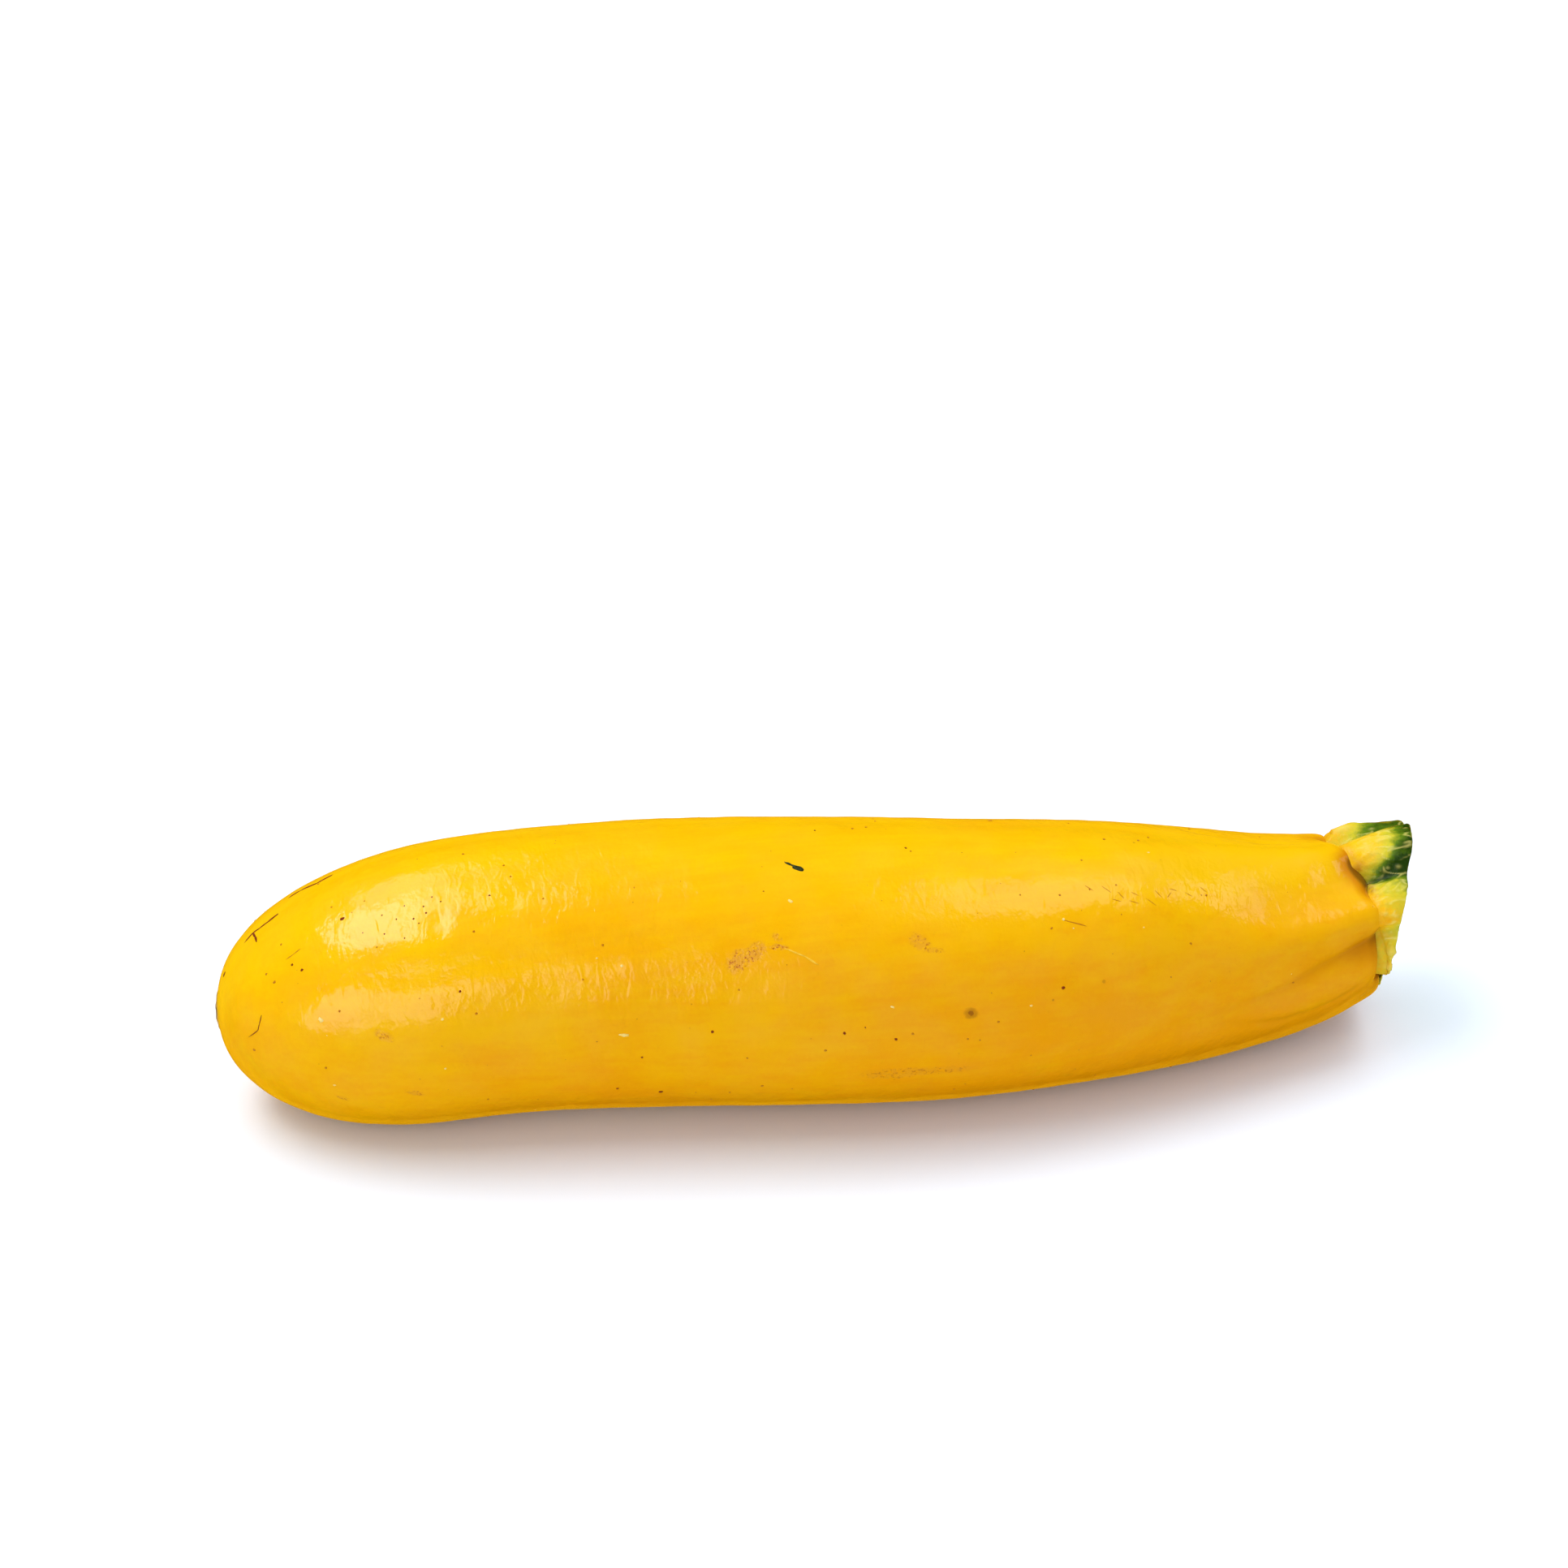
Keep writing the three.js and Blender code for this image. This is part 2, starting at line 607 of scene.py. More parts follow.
@dataclass(frozen=True)
class Mark:
    """A mark on the skin: its kind, place, length and width in millimetres, heading in degrees off +X towards
    rising angles, and how strongly it is painted."""

    kind: MarkKind
    s: float
    angle: float
    length: float
    width: float
    heading: float = 0.0
    strength: float = 1.0


def speck_marks() -> list[Mark]:
    """The small dark specks that stand out, and the faint ones.

    Returns:
        The marks, the dark ones first.
    """
    bold = (
        (21, 110, 0.7), (78, 175.2, 0.5), (99, 176.5, 0.5), (107.3, 179.8, 0.55), (135, 161.5, 0.62),
        (14, 130.3, 0.45), (12.5, 126, 0.4), (38.5, 151.8, 0.4), (98.4, 84.4, 0.35), (112.3, 96.8, 0.4),
        (66.8, 186.3, 0.4), (70, 208.6, 0.7), (63, 205, 0.5), (1.6, 92, 0.5), (27.3, 114, 0.28),
        (32.2, 119, 0.32), (34, 114.3, 0.3), (34.3, 117.5, 0.34), (27.4, 123, 0.28), (30.5, 126.7, 0.26),
        (31, 112, 0.26), (35.5, 110.5, 0.3), (29.5, 117.5, 0.26), (33, 121.5, 0.26), (24, 120, 0.24),
        (26, 128, 0.22), (36.8, 113.5, 0.28), (44.6, 114, 0.34),
    )
    faint = (
        (11, 111.5, 0.4), (41.4, 88, 0.5), (40.8, 161.5, 0.45), (16.6, 180.6, 0.5), (5.5, 178.4, 0.5),
        (8.3, 126.5, 0.4), (9.5, 133, 0.5), (110, 177.5, 0.5), (96, 184.4, 0.5), (61.6, 139, 0.45),
        (141.2, 120.4, 0.38), (145.8, 119, 0.36), (136, 122.3, 0.40), (129.4, 121.4, 0.34),
        (154.3, 88.2, 0.5), (104.7, 82, 0.5), (107, 80.5, 0.5), (109, 73, 0.4), (128.4, 69.4, 0.9),
        (119, 181, 0.4), (121, 182, 0.35), (82.5, 158, 0.35), (58, 152, 0.35), (19.5, 101, 0.35),
        (24.8, 104, 0.3), (47.5, 99, 0.4), (53, 118, 0.35), (88, 119, 0.35), (41.5, 128.8, 0.45),
        (146, 91.3, 0.5), (152, 92.2, 0.55), (165, 64.5, 0.7), (86.2, 205, 0.5), (124, 174, 0.5),
    )
    marks = [Mark(MarkKind.SPECK, s, angle, 1.1 * size, 1.1 * size) for s, angle, size in bold]
    return marks + [Mark(MarkKind.FAINT, s, angle, size, size) for s, angle, size in faint]


def pale_marks() -> list[Mark]:
    """The small pale specks, where the skin has lifted.

    Returns:
        The marks.
    """
    places = (
        (16.3, 156, 1.1, 0.7, 60), (35.4, 161.8, 0.5, 0.5, 0), (64.3, 147.5, 0.5, 0.5, 0),
        (64, 175.5, 1.7, 0.7, 5), (92, 123.3, 0.9, 0.6, 20), (35.4, 183.8, 0.4, 0.4, 0),
        (17.8, 190.6, 0.5, 0.4, 0), (136, 133, 0.5, 0.5, 0), (129.5, 168, 0.5, 0.4, 0),
        (149.5, 138.5, 0.3, 0.3, 0), (153, 101.8, 0.5, 0.3, 0), (106.8, 165.7, 0.7, 0.4, 20),
        (137.5, 137, 0.3, 0.3, 0), (60.5, 144, 0.4, 0.3, 0),
    )
    return [Mark(MarkKind.PALE, *place) for place in places]


def line_marks(kind: MarkKind, width: float, points: Sequence[Pair]) -> list[Mark]:
    """A thin line through places on the skin, as a mark for each stretch.

    Args:
        kind: what the line is.
        width: its width in millimetres.
        points: the places.

    Returns:
        The marks, each so long that it overlaps the next one.
    """
    overlap = 1.4
    marks = []
    for (s0, a0), (s1, a1) in zip(points, points[1:]):
        s, angle = (s0 + s1) / 2, (a0 + a1) / 2
        run = s1 - s0
        drop = math.radians(a1 - a0) * float(FRUIT.girth(np.array([s]))[0])
        heading = math.degrees(math.atan2(drop, run))
        marks.append(Mark(kind, s, angle, math.hypot(run, drop) * overlap, width, heading))
    return marks


# --- The fruit --------------------------------------------------------------------------------------------


@dataclass(frozen=True)
class WaxySkin:
    """The yellow skin: thin wax over a faintly streaked and speckled rind."""

    # bright and deep are mixed by the tone layer as painted light and shade, bright on the lit top and deep
    # on the flanks and underside, and also by random mottling.
    bright: Colour = (0.905, 0.502, 0.0005)
    deep: Colour = (0.855, 0.334, 0.0005)
    # The crease colour and, deepest, brown are painted shade in the creases, round the pit and where the lip
    # rolls in; the crease colour also shows in random dusky patches.
    crease: Colour = (0.640, 0.225, 0.0010)
    brown: Colour = (0.200, 0.070, 0.0020)
    cork: Colour = (0.420, 0.260, 0.105)
    cork_dark: Colour = (0.120, 0.060, 0.026)
    scuff: Colour = (0.760, 0.320, 0.012)
    scuff_dark: Colour = (0.480, 0.110, 0.003)
    spot: Colour = (0.260, 0.070, 0.003)
    roughness: Pair = (0.095, 0.165)
    scuff_roughness: float = 0.06
    cork_roughness: float = 0.4
    ior: float = 1.5
    relief_depth: float = 0.075

    def make(self, marks: Sequence[Mark], frames: Sequence[Matrix]) -> bpy.types.Material:
        """Makes the material.

        Args:
            marks: the marks on the skin.
            frames: for each mark, its place and its directions along, across and out, in metres.

        Returns:
            The material.
        """
        bench = NodeBench("waxy_skin")
        places = bench.places()
        masks = self.marks(bench, marks, frames)
        colour = self.ground(bench, places)
        colour, scuffed = self.scuffs(bench, places, colour, masks)
        colour = bench.mix(masks[MarkKind.SPOT], colour, self.spot)
        cork = bench.layer("cork")
        pith = bench.span(bench.grain(places, 0.9, 4, 0.65), 0.38, 0.62)
        colour = bench.mix(cork, colour, bench.mix(pith, self.cork_dark, self.cork))
        rough = bench.times(scuffed, self.scuff_roughness)
        rough = bench.math("MAXIMUM", rough, bench.times(cork, self.cork_roughness))
        wax = bench.span(bench.grain(places, 0.16, 3), 0.3, 0.7, self.roughness)
        return bench.finish({
            "Base Color": colour,
            "Roughness": bench.math("ADD", wax, rough),
            "IOR": self.ior,
            "Normal": self.relief(bench, places, scuffed, cork),
        })

    def ground(self, bench: NodeBench, places: Socket) -> Socket:
        """The skin's colour: broad tone, mottling and streaks along the fruit, with painted light and shade:
        paler on the lit top, deeper yellow on the flanks and belly, and painted shade in the creases.

        Args:
            bench: the material's nodes.
            places: places in millimetres.

        Returns:
            The colour.
        """
        broad = bench.grain(bench.stretched(places, (0.4, 1.0, 1.0)), 0.045, 2)
        mottle = bench.grain(bench.stretched(places, (0.55, 1.0, 1.0)), 0.2, 4, 0.6)
        streaks = bench.grain(bench.stretched(places, (0.045, 1.0, 1.0)), 0.75, 3, 0.6)
        fine = bench.grain(places, 1.5, 4, 0.7)
        tone = bench.total((broad, 0.42), (mottle, 0.30), (streaks, 0.20), (fine, 0.16))
        # The tone layer is painted light and shade; the noise adds random tone.
        share = bench.math("ADD", bench.layer("tone"), bench.span(tone, 0.40, 0.68, (-0.26, 0.26)))
        colour = bench.mix(share, self.bright, self.deep)
        # Freckles: a dot in the middle of some of the cells.
        cells = bench.add("TexVoronoi", {"Vector": places, "Scale": 0.28}).outputs
        size = bench.span(cells["Color"], 0.50, 0.95, (0.0, 0.085))
        dot = {"Value": cells["Distance"], "From Min": size, "From Max": 0.0}
        freckle = bench.add("MapRange", dot).outputs[0]
        colour = bench.mix(bench.times(freckle, 0.75), colour, self.spot)
        dusk = bench.span(bench.grain(places, 1.1, 5, 0.75), 0.58, 0.76, (0.0, 0.26))
        colour = bench.mix(dusk, colour, self.crease)
        # Painted shade in the creases and the rolled-in lip, turning brown where it is deepest.
        colour = bench.mix(bench.span(bench.layer("crease"), 0.0, 0.6), colour, self.crease)
        return bench.mix(bench.span(bench.layer("crease"), 0.55, 1.0), colour, self.brown)

    def marks(
        self, bench: NodeBench, marks: Sequence[Mark], frames: Sequence[Matrix]
    ) -> dict[MarkKind, Socket]:
        """A mask for each kind of mark.

        Args:
            bench: the material's nodes.
            marks: the marks.
            frames: each mark's place and directions.

        Returns:
            The mask of each kind, from 0 to 1.
        """
        place = bench.add("TexCoord").outputs["Object"]
        # The marks' outlines wander by a fraction of a millimetre.
        waves, sway, middle = 1.4 / MM, 0.6 * MM, 0.5
        wander = bench.add("TexNoise", {"Vector": place, "Scale": waves, "Detail": 1.0}).outputs["Color"]
        wander = bench.add("VectorMath", {0: wander, 1: (middle,) * 3}, operation="SUBTRACT").outputs[0]
        moved = {0: wander, 1: (sway,) * 3, 2: place}
        place = bench.add("VectorMath", moved, operation="MULTIPLY_ADD").outputs[0]
        thickness, outer, inner = 1.5, 1.25, 0.6
        masks: dict[MarkKind, Socket] = {}
        for mark, at in zip(marks, frames):
            inputs = {
                "Vector": place,
                "Location": at.translation,
                "Rotation": at.to_euler("XYZ"),
                "Scale": (mark.length / 2 * MM, mark.width / 2 * MM, thickness * MM),
            }
            local = bench.add("Mapping", inputs, vector_type="TEXTURE").outputs[0]
            reach = bench.add("VectorMath", {0: local}, operation="LENGTH").outputs["Value"]
            mask = bench.span(reach, outer, inner, (0.0, mark.strength))
            known = masks.get(mark.kind)
            masks[mark.kind] = mask if known is None else bench.math("MAXIMUM", known, mask)
        return masks

    def scuffs(
        self, bench: NodeBench, places: Socket, colour: Socket, masks: dict[MarkKind, Socket]
    ) -> tuple[Socket, Socket]:
        """Tan scuffs with broken edges and brown flecks in them.

        Args:
            bench: the material's nodes.
            places: places in millimetres.
            colour: the colour so far.
            masks: the marks' masks.

        Returns:
            The colour with the scuffs on it, and how scuffed the skin is.
        """
        mask = masks[MarkKind.SCUFF]
        scuffed = bench.times(mask, bench.span(bench.grain(places, 1.3, 3, 0.65), 0.36, 0.56))
        colour = bench.mix(bench.times(scuffed, 0.85), colour, self.scuff)
        flecks = bench.span(bench.grain(places, 1.9, 3, 0.7), 0.54, 0.62)
        colour = bench.mix(bench.times(flecks, mask), colour, self.scuff_dark)
        return colour, scuffed

    def relief(self, bench: NodeBench, places: Socket, scuffed: Socket, cork: Socket) -> Socket:
        """Fine relief: wrinkles of the wax, and the roughness of scuffs and cork.

        Args:
            bench: the material's nodes.
            places: places in millimetres.
            scuffed: how scuffed the skin is.
            cork: how corky the skin is.

        Returns:
            The normal.
        """
        brushed = bench.stretched(places, (1.0, 0.45, 0.45))
        strokes = {"Vector": brushed, "Scale": 0.62, "Detail": 1.5, "Roughness": 0.5, "Distortion": 0.7}
        folds = bench.add("TexNoise", strokes).outputs[0]
        # The folds of the wax are deep in patches, most so towards the nose and three quarters along.
        patches = bench.span(bench.grain(places, 0.11, 2), 0.36, 0.60, (0.7, 1.5))
        along = bench.add("SeparateXYZ", {0: places}).outputs[0]
        for start, end, share in ((-42.0, -18.0, 0.55), (20.0, 38.0, 1.7), (58.0, 72.0, 0.55)):
            patches = bench.times(patches, bench.span(along, start, end, (1.0, share)))
        pores = bench.grain(places, 2.6)
        height = bench.total(
            (bench.grain(places, 0.6), 1.0),
            (bench.grain(places, 1.5), 0.35),
            (pores, 0.14),
            (bench.times(folds, patches), 1.3),
            (bench.times(scuffed, pores), -1.2),
            (bench.times(cork, bench.grain(places, 2.2, 4, 0.7)), 5.0),
        )
        return bench.bump(height, self.relief_depth)


@dataclass(frozen=True)
class Lip:
    """Where the shoulder ends at one angle, and how far it rolls in there."""

    angle: float
    end: float
    drop: float


@dataclass(frozen=True)
class Fruit:
    """The fruit: nose with the blossom scar, bowed body, and the shoulder that rolls in round the stem."""

    curve: BodyCurve = BodyCurve((
        Station(0, 23.4, -0.2, 18.2),
        Station(17, 23.3, -1.6, 19.9),
        Station(47, 23.3, -3.2, 23.2),
        Station(70, 23.8, -5.2, 23.9),
        Station(95, 23.9, -8.4, 23.9),
        Station(121, 23.1, -10.4, 23.0),
        Station(147, 21.4, -9.0, 21.3),
        Station(166, 19.1, -6.2, 19.3),
        Station(181, 16.3, -4.0, 18.7),
        Station(192.6, 13.3, -2.4, 20.1),
    ))
    ribs: Ribs = Ribs()
    nose_length: float = 40
    nose_power: float = 2.15
    scar_radius: float = 3.0
    # The middle of the blossom scar, off the middle of the nose: across and up.
    scar_offset: Pair = (2.4, -1.2)
    belly_flat: float = 0.35
    belly_softness: float = 0.5
    seat: Slant = Slant(192.6, -2.4, 20.1, 12, 6)
    lean_length: float = 45
    # Where the shoulder's closer rings begin, and where the last even one lies.
    body_end: float = 176.0
    even_end: float = 183.0
    crease_shade: float = 0.33
    lips: tuple[Lip, ...] = (
        Lip(20, 193.0, 3.2), Lip(46, 191.4, 0.7), Lip(59, 191.0, 0.6), Lip(71, 190.8, 2.0),
        Lip(82, 191.2, 0.7), Lip(92, 191.8, 0.4), Lip(100, 192.8, 0.6), Lip(108, 193.7, 2.4),
        Lip(116, 194.2, 4.0), Lip(125, 193.8, 4.0), Lip(133, 192.8, 2.4), Lip(141, 192.3, 0.5),
        Lip(149, 192.8, 0.3), Lip(158, 192.8, 0.4), Lip(167, 192.2, 1.8), Lip(180, 191.2, 0.9),
        Lip(193, 190.4, 0.7), Lip(206, 190.0, 0.8), Lip(218, 191.8, 1.6), Lip(245, 192.0, 0.7),
        Lip(272, 193.0, 3.2), Lip(300, 192.2, 0.7), Lip(327, 193.0, 3.2), Lip(354, 192.2, 0.7),
    )
    columns: int = 240
    folds: tuple[Fold, ...] = (
        # The ridge that comes off the upper front rib, the hollow over it and the deep crease under it.
        Fold(
            ((156, 153), (166, 153.5), (176, 152.5), (186, 150), (192.6, 149)),
            (0, 0.35, 0.75, 0.95, 0.8), 4.2, 2.6,
        ),
        Fold(
            ((160, 139), (170, 139), (180, 138), (188, 135), (192.6, 132)),
            (0, -0.15, -0.35, -0.4, -0.3), 4.6, 3.2,
        ),
        Fold(
            (
                (150, 188), (158, 185.5), (166, 182), (173, 179),
                (177, 175), (181, 171), (186, 169), (192.6, 166),
            ),
            (0, -0.2, -0.42, -0.6, -0.75, -0.9, -1.0, -1.1), 0.9, 2.4, FoldEdge.SHARP,
        ),
        # A second, softer fold below it.
        Fold(
            ((148, 188), (158, 188), (165, 194), (172, 201), (178, 202), (184, 199), (192, 193)),
            (0, -0.16, -0.36, -0.5, -0.55, -0.45, 0), 1.6, 2.2, FoldEdge.SHARP,
        ),
        # Along the top: a low ridge off the rib, and a thin crease behind it.
        Fold(
            ((122, 108), (136, 106), (153, 101), (168, 95), (183, 93), (192, 97)),
            (0, 0.12, 0.25, 0.3, 0.25, -0.3), 2.6, 3.2,
        ),
        Fold(
            ((162, 66), (165, 69), (171, 77), (177, 82), (186, 86)),
            (0, -0.22, -0.2, -0.16, 0), 0.5, 1.2, FoldEdge.SHARP,
        ),
        # Hollows in the front of the body.
        Fold(((134, 155), (144, 157), (152, 158), (162, 156)), (0, -0.2, -0.2, 0), 4.0, 3.0),
        Fold(
            ((4, 118), (14, 133), (30, 142), (45, 142), (60, 139), (80, 138), (100, 137)),
            (0, -0.12, -0.3, -0.3, -0.2, -0.12, 0), 3.4, 3.0,
        ),
        # The back, in the same manner.
        Fold(((150, 20), (165, 24), (178, 27), (192, 24)), (0, -0.2, -0.55, -0.9), 1.2, 2.6, FoldEdge.SHARP),
        Fold(
            ((146, 334), (160, 332), (174, 330), (192, 328)),
            (0, -0.2, -0.5, -0.8), 2.0, 1.2, FoldEdge.SHARP,
        ),
        Fold(
            ((158, 272), (172, 275), (184, 274), (192, 273)),
            (0, -0.2, -0.45, -0.7), 1.6, 1.6, FoldEdge.SHARP,
        ),
        Fold(((10, 40), (34, 44), (70, 42), (110, 45)), (0, -0.25, -0.2, 0), 3.5, 3.5),
        Fold(((20, 330), (50, 326), (90, 322), (130, 325)), (0, -0.25, -0.25, 0), 4.0, 4.0),
    )
    dents: tuple[Dent, ...] = (
        Dent(36, 122.7, 1.9, -0.26), Dent(45, 132, 3.4, -0.06), Dent(29, 133, 3.6, 0.05),
        Dent(151.7, 112.3, 3.0, -0.10), Dent(143, 121, 3.6, 0.07), Dent(160, 120, 4.2, 0.10),
        Dent(128, 124, 3.0, 0.05), Dent(121.8, 118, 2.6, -0.06), Dent(52, 150, 4.0, -0.06),
        Dent(40, 158, 3.5, -0.05), Dent(172, 122, 4.5, -0.15), Dent(174, 132, 5.0, -0.20),
        Dent(192.6, 109, 2.6, -1.0), Dent(188.5, 118, 4.2, -0.45), Dent(150, 119, 10.5, 0.80),
    )
    # Painted shade in the crease colour round the pit and in the grooves by the stem, and orange patches on
    # the front towards the stem, with how much in place of the rise.
    shades_and_patches: tuple[Dent, ...] = (
        Dent(192.6, 105, 2.8, 0.50), Dent(193.4, 114, 3.6, 0.62), Dent(187, 121, 5.0, 0.10),
        Dent(179, 131, 7.0, 0.12), Dent(150, 114, 8.0, 0.10), Dent(170, 129, 7.0, 0.12),
        Dent(188, 68, 3.0, 0.35), Dent(189, 172, 3.0, 0.35), Dent(188, 20, 3.5, 0.45),
        Dent(188, 327, 3.5, 0.45), Dent(188, 272, 3.5, 0.45), Dent(189, 219, 3.5, 0.45),
    )

    def build(
        self, shift: Array, marks: Sequence[Mark], finish: WaxySkin
    ) -> tuple[bpy.types.Object, Ground]:
        """Makes the fruit and dresses it.

        Args:
            shift: from the growth frame to the part's frame, in millimetres.
            marks: the marks on its skin, of which the scuffs and spots are painted.
            finish: its finish.

        Returns:
            The piece, and its skin as a place to set the other marks on.
        """
        rings, layers = self.surface()
        rings = rings + shift
        rows = self.rows()
        ground = Ground(rows, rings[:len(rows)])
        piece = RoundSkin(rings, rings[0].mean(axis=0), rings[-1].mean(axis=0), layers).build("fruit_skin")
        painted = [mark for mark in marks if mark.kind in (MarkKind.SCUFF, MarkKind.SPOT)]
        frames = [ground.frame_at(mark.s, mark.angle, mark.heading) for mark in painted]
        piece.data.materials.append(finish.make(painted, frames))
        return piece, ground

    def nose_share(self, s: Array) -> Array:
        """Share of the full girth that the nose leaves at s."""
        left = np.clip(1.0 - s / self.nose_length, 0.0, 1.0)
        return (1.0 - left**self.nose_power) ** (1.0 / self.nose_power)

    def nose_depth(self, share: Array) -> Array:
        """Distance from the tip at which the nose has opened to a share of the girth."""
        return self.nose_length * (1.0 - (1.0 - share**self.nose_power) ** (1.0 / self.nose_power))

    def girth(self, s: Array) -> Array:
        """Radius of the body at s, without its ridges."""
        return self.curve.evaluate(s)[0] * self.nose_share(s)

    def ring(self, s: Array, angle: Array, rise: Array | float = 0.0) -> Array:
        """Points of the plain fruit.

        Args:
            s: distances from the tip.
            angle: angles round the fruit.
            rise: what is added to its radius.

        Returns:
            The points in the growth frame, before the belly is pressed flat.
        """
        _, side, height = self.curve.evaluate(s)
        lean = smoothstep(s, self.seat.x - self.lean_length, self.seat.x)
        radius = self.girth(s) + self.ribs.ridge(s, angle, self.seat.x) + rise
        return lay_ring(s, side, height, lean * self.seat.pitch, lean * self.seat.yaw, radius, angle)

    def settle(self, points: Array) -> Array:
        """Presses the belly flat, with soft edges.

        Args:
            points: places in the growth frame, which are changed.

        Returns:
            The same places.
        """
        soft = self.belly_softness
        above = points[..., 2] - self.belly_flat
        points[..., 2] = self.belly_flat + 0.5 * (above + np.sqrt(above**2 + soft**2)) - soft * 0.25
        return points

    def rows(self) -> Array:
        """Where the even rings lie, up to where they start to follow the shoulder's lip.

        Returns:
            Their distances from the tip.
        """
        # The scar is spaced evenly outwards, and the nose as on a quarter circle.
        reach = np.linspace(0.15, 5.2, 24)
        scar = self.nose_depth(reach / self.curve.stations[0].radius)
        turn = np.arccos(1.0 - scar[-1] / self.nose_length)
        nose = self.nose_length * (1.0 - np.cos(np.linspace(turn, math.pi / 2, 72)[1:]))
        body = np.linspace(self.nose_length, self.body_end, 224)[1:]
        shoulder = np.linspace(self.body_end, self.even_end, 24)[1:]
        return np.concatenate((scar, nose, body, shoulder))

    def surface(self) -> tuple[Array, dict[str, Array]]:
        """The skin's rings and layers.

        Returns:
            The rings in the growth frame, and the layers that the finish reads.
        """
        angle = np.arange(self.columns) * 360.0 / self.columns
        even = np.repeat(self.rows()[:, None], self.columns, axis=1)
        late, drop, shade = self.shoulder(angle)
        s = np.concatenate((even, late))
        drop, shade = (np.concatenate((np.zeros_like(even), part)) for part in (drop, shade))
        around = np.broadcast_to(angle, s.shape)
        rise, crease = self.relief(np.minimum(s, self.seat.x), around)
        rings = self.ring(s, around, rise - drop)
        # The last rings shrink to close the fruit inside the stem.
        closing = np.array((0.8, 0.5, 0.2))[:, None, None]
        middle = rings[-1].mean(axis=0)
        rings[-len(closing):] = middle + (rings[-len(closing):] - middle) * closing
        # Painted shade in the creases, round the pit and where the lip rolls in.
        shade = np.clip(crease + shade, 0.0, 0.95)
        tip = np.linalg.norm(rings[..., 1:] - self.tip(), axis=-1)
        scar_zone = 6
        near = rings[..., 0] < scar_zone
        swell = np.where(near, self.scar_relief(tip, around[:1]), 0.0)
        lumps = 0.26 * clouds(rings, 30, 3.1, 1.7) + 0.10 * clouds(rings, 9, 7.7, 1.5)
        lumps = lumps + 0.060 * clouds(rings, 3.4, 5.2)
        rings = rings + outward(rings) * (lumps + swell)[..., None]
        rings = self.settle(rings)
        cork = np.where(near, 1.0 - smoothstep(tip + 0.5 * clouds(rings, 1.3, 2.2), 3.2, 3.9), 0.0)
        return rings, {"cork": cork, "tone": self.tone(rings, s, around), "crease": shade}

    def tone(self, rings: Array, s: Array, angle: Array) -> Array:
        """Painted light and shade as a deepening yellow: 0 on the lit top, and up to 1 low down and towards
        the stem.

        Args:
            rings: places in the growth frame.
            s: distances from the tip.
            angle: angles round the fruit.

        Returns:
            The tone of each place.
        """
        # Painted light: the crest, under the lights, is palest, and painted shade deepens the yellow away
        # from it, most quickly on the upper flanks.
        crest = 88.0
        away = np.abs(between(angle, crest))
        base = 0.06 + 0.0078 * np.clip(away - 10.0, 0.0, 65.0) + 0.0055 * np.maximum(away - 75.0, 0.0)
        # A painted pool of light lies on top towards the stem.
        sunny = bell(s, 20.0, 156.0) * (1.0 - smoothstep(away, 28.0, 52.0))
        base = base * (1.0 - 0.8 * sunny)
        # From the middle on, painted shade makes it deeper on the flanks and behind the crest, but hardly on
        # the underside.
        late = 0.62 * smoothstep(s, 60.0, 140.0) * smoothstep(away, 22.0, 75.0)
        late = late * (1.0 - 0.8 * smoothstep(away, 85.0, 112.0))
        late = late + 0.22 * smoothstep(s, 70.0, 130.0) * bell(between(angle, 66.0), 20.0)
        # The nose, lit from the front, is painted paler.
        early = 0.60 + 0.40 * smoothstep(s, 0.0, 50.0)
        deep = 1.0 - (1.0 - np.minimum(base, 0.92) * early) * (1.0 - late)
        return np.clip(deep + 0.10 * clouds(rings, 24, 6.1, 2.0), 0.0, 1.0)

    def relief(self, s: Array, angle: Array) -> tuple[Array, Array]:
        """Folds and dents of the skin, with painted shade in the crease colour and a few orange patches.

        Args:
            s: distances from the tip.
            angle: angles round the fruit.

        Returns:
            The rise, and how much painted shade in the crease colour each place has.
        """
        radius = self.girth(s)
        folds = [fold.relief(s, angle, radius) for fold in self.folds]
        sharp = [rise for fold, rise in zip(self.folds, folds) if fold.edge is FoldEdge.SHARP]
        depth = np.sum([np.maximum(-rise, 0.0) for rise in sharp], axis=0)
        shade = self.crease_shade * np.clip(depth, 0.0, 1.0) ** 1.1
        shade_and_tinge = np.sum([dent.rise * dent.share(s, angle, radius) for dent in self.shades_and_patches], axis=0)
        dents = [dent.rise * dent.share(s, angle, radius) for dent in self.dents]
        return np.sum(folds + dents, axis=0), np.clip(shade + shade_and_tinge, 0.0, 1.0)

    def shoulder(self, angle: Array) -> tuple[Array, Array, Array]:
        """The last rings, which follow the lip, roll in under the stem and close.

        Args:
            angle: angles round the fruit.

        Returns:
            For each ring and angle the distance from the tip, the drop and the painted shade where the lip
            rolls in.
        """
        turns = [lip.angle for lip in self.lips]
        turns = [turns[-1] - 360.0, *turns, turns[0] + 360.0]
        table = np.array([(lip.end, lip.drop) for lip in (self.lips[-1], *self.lips, self.lips[0])])
        end, drop = threaded(turns, table, angle).T
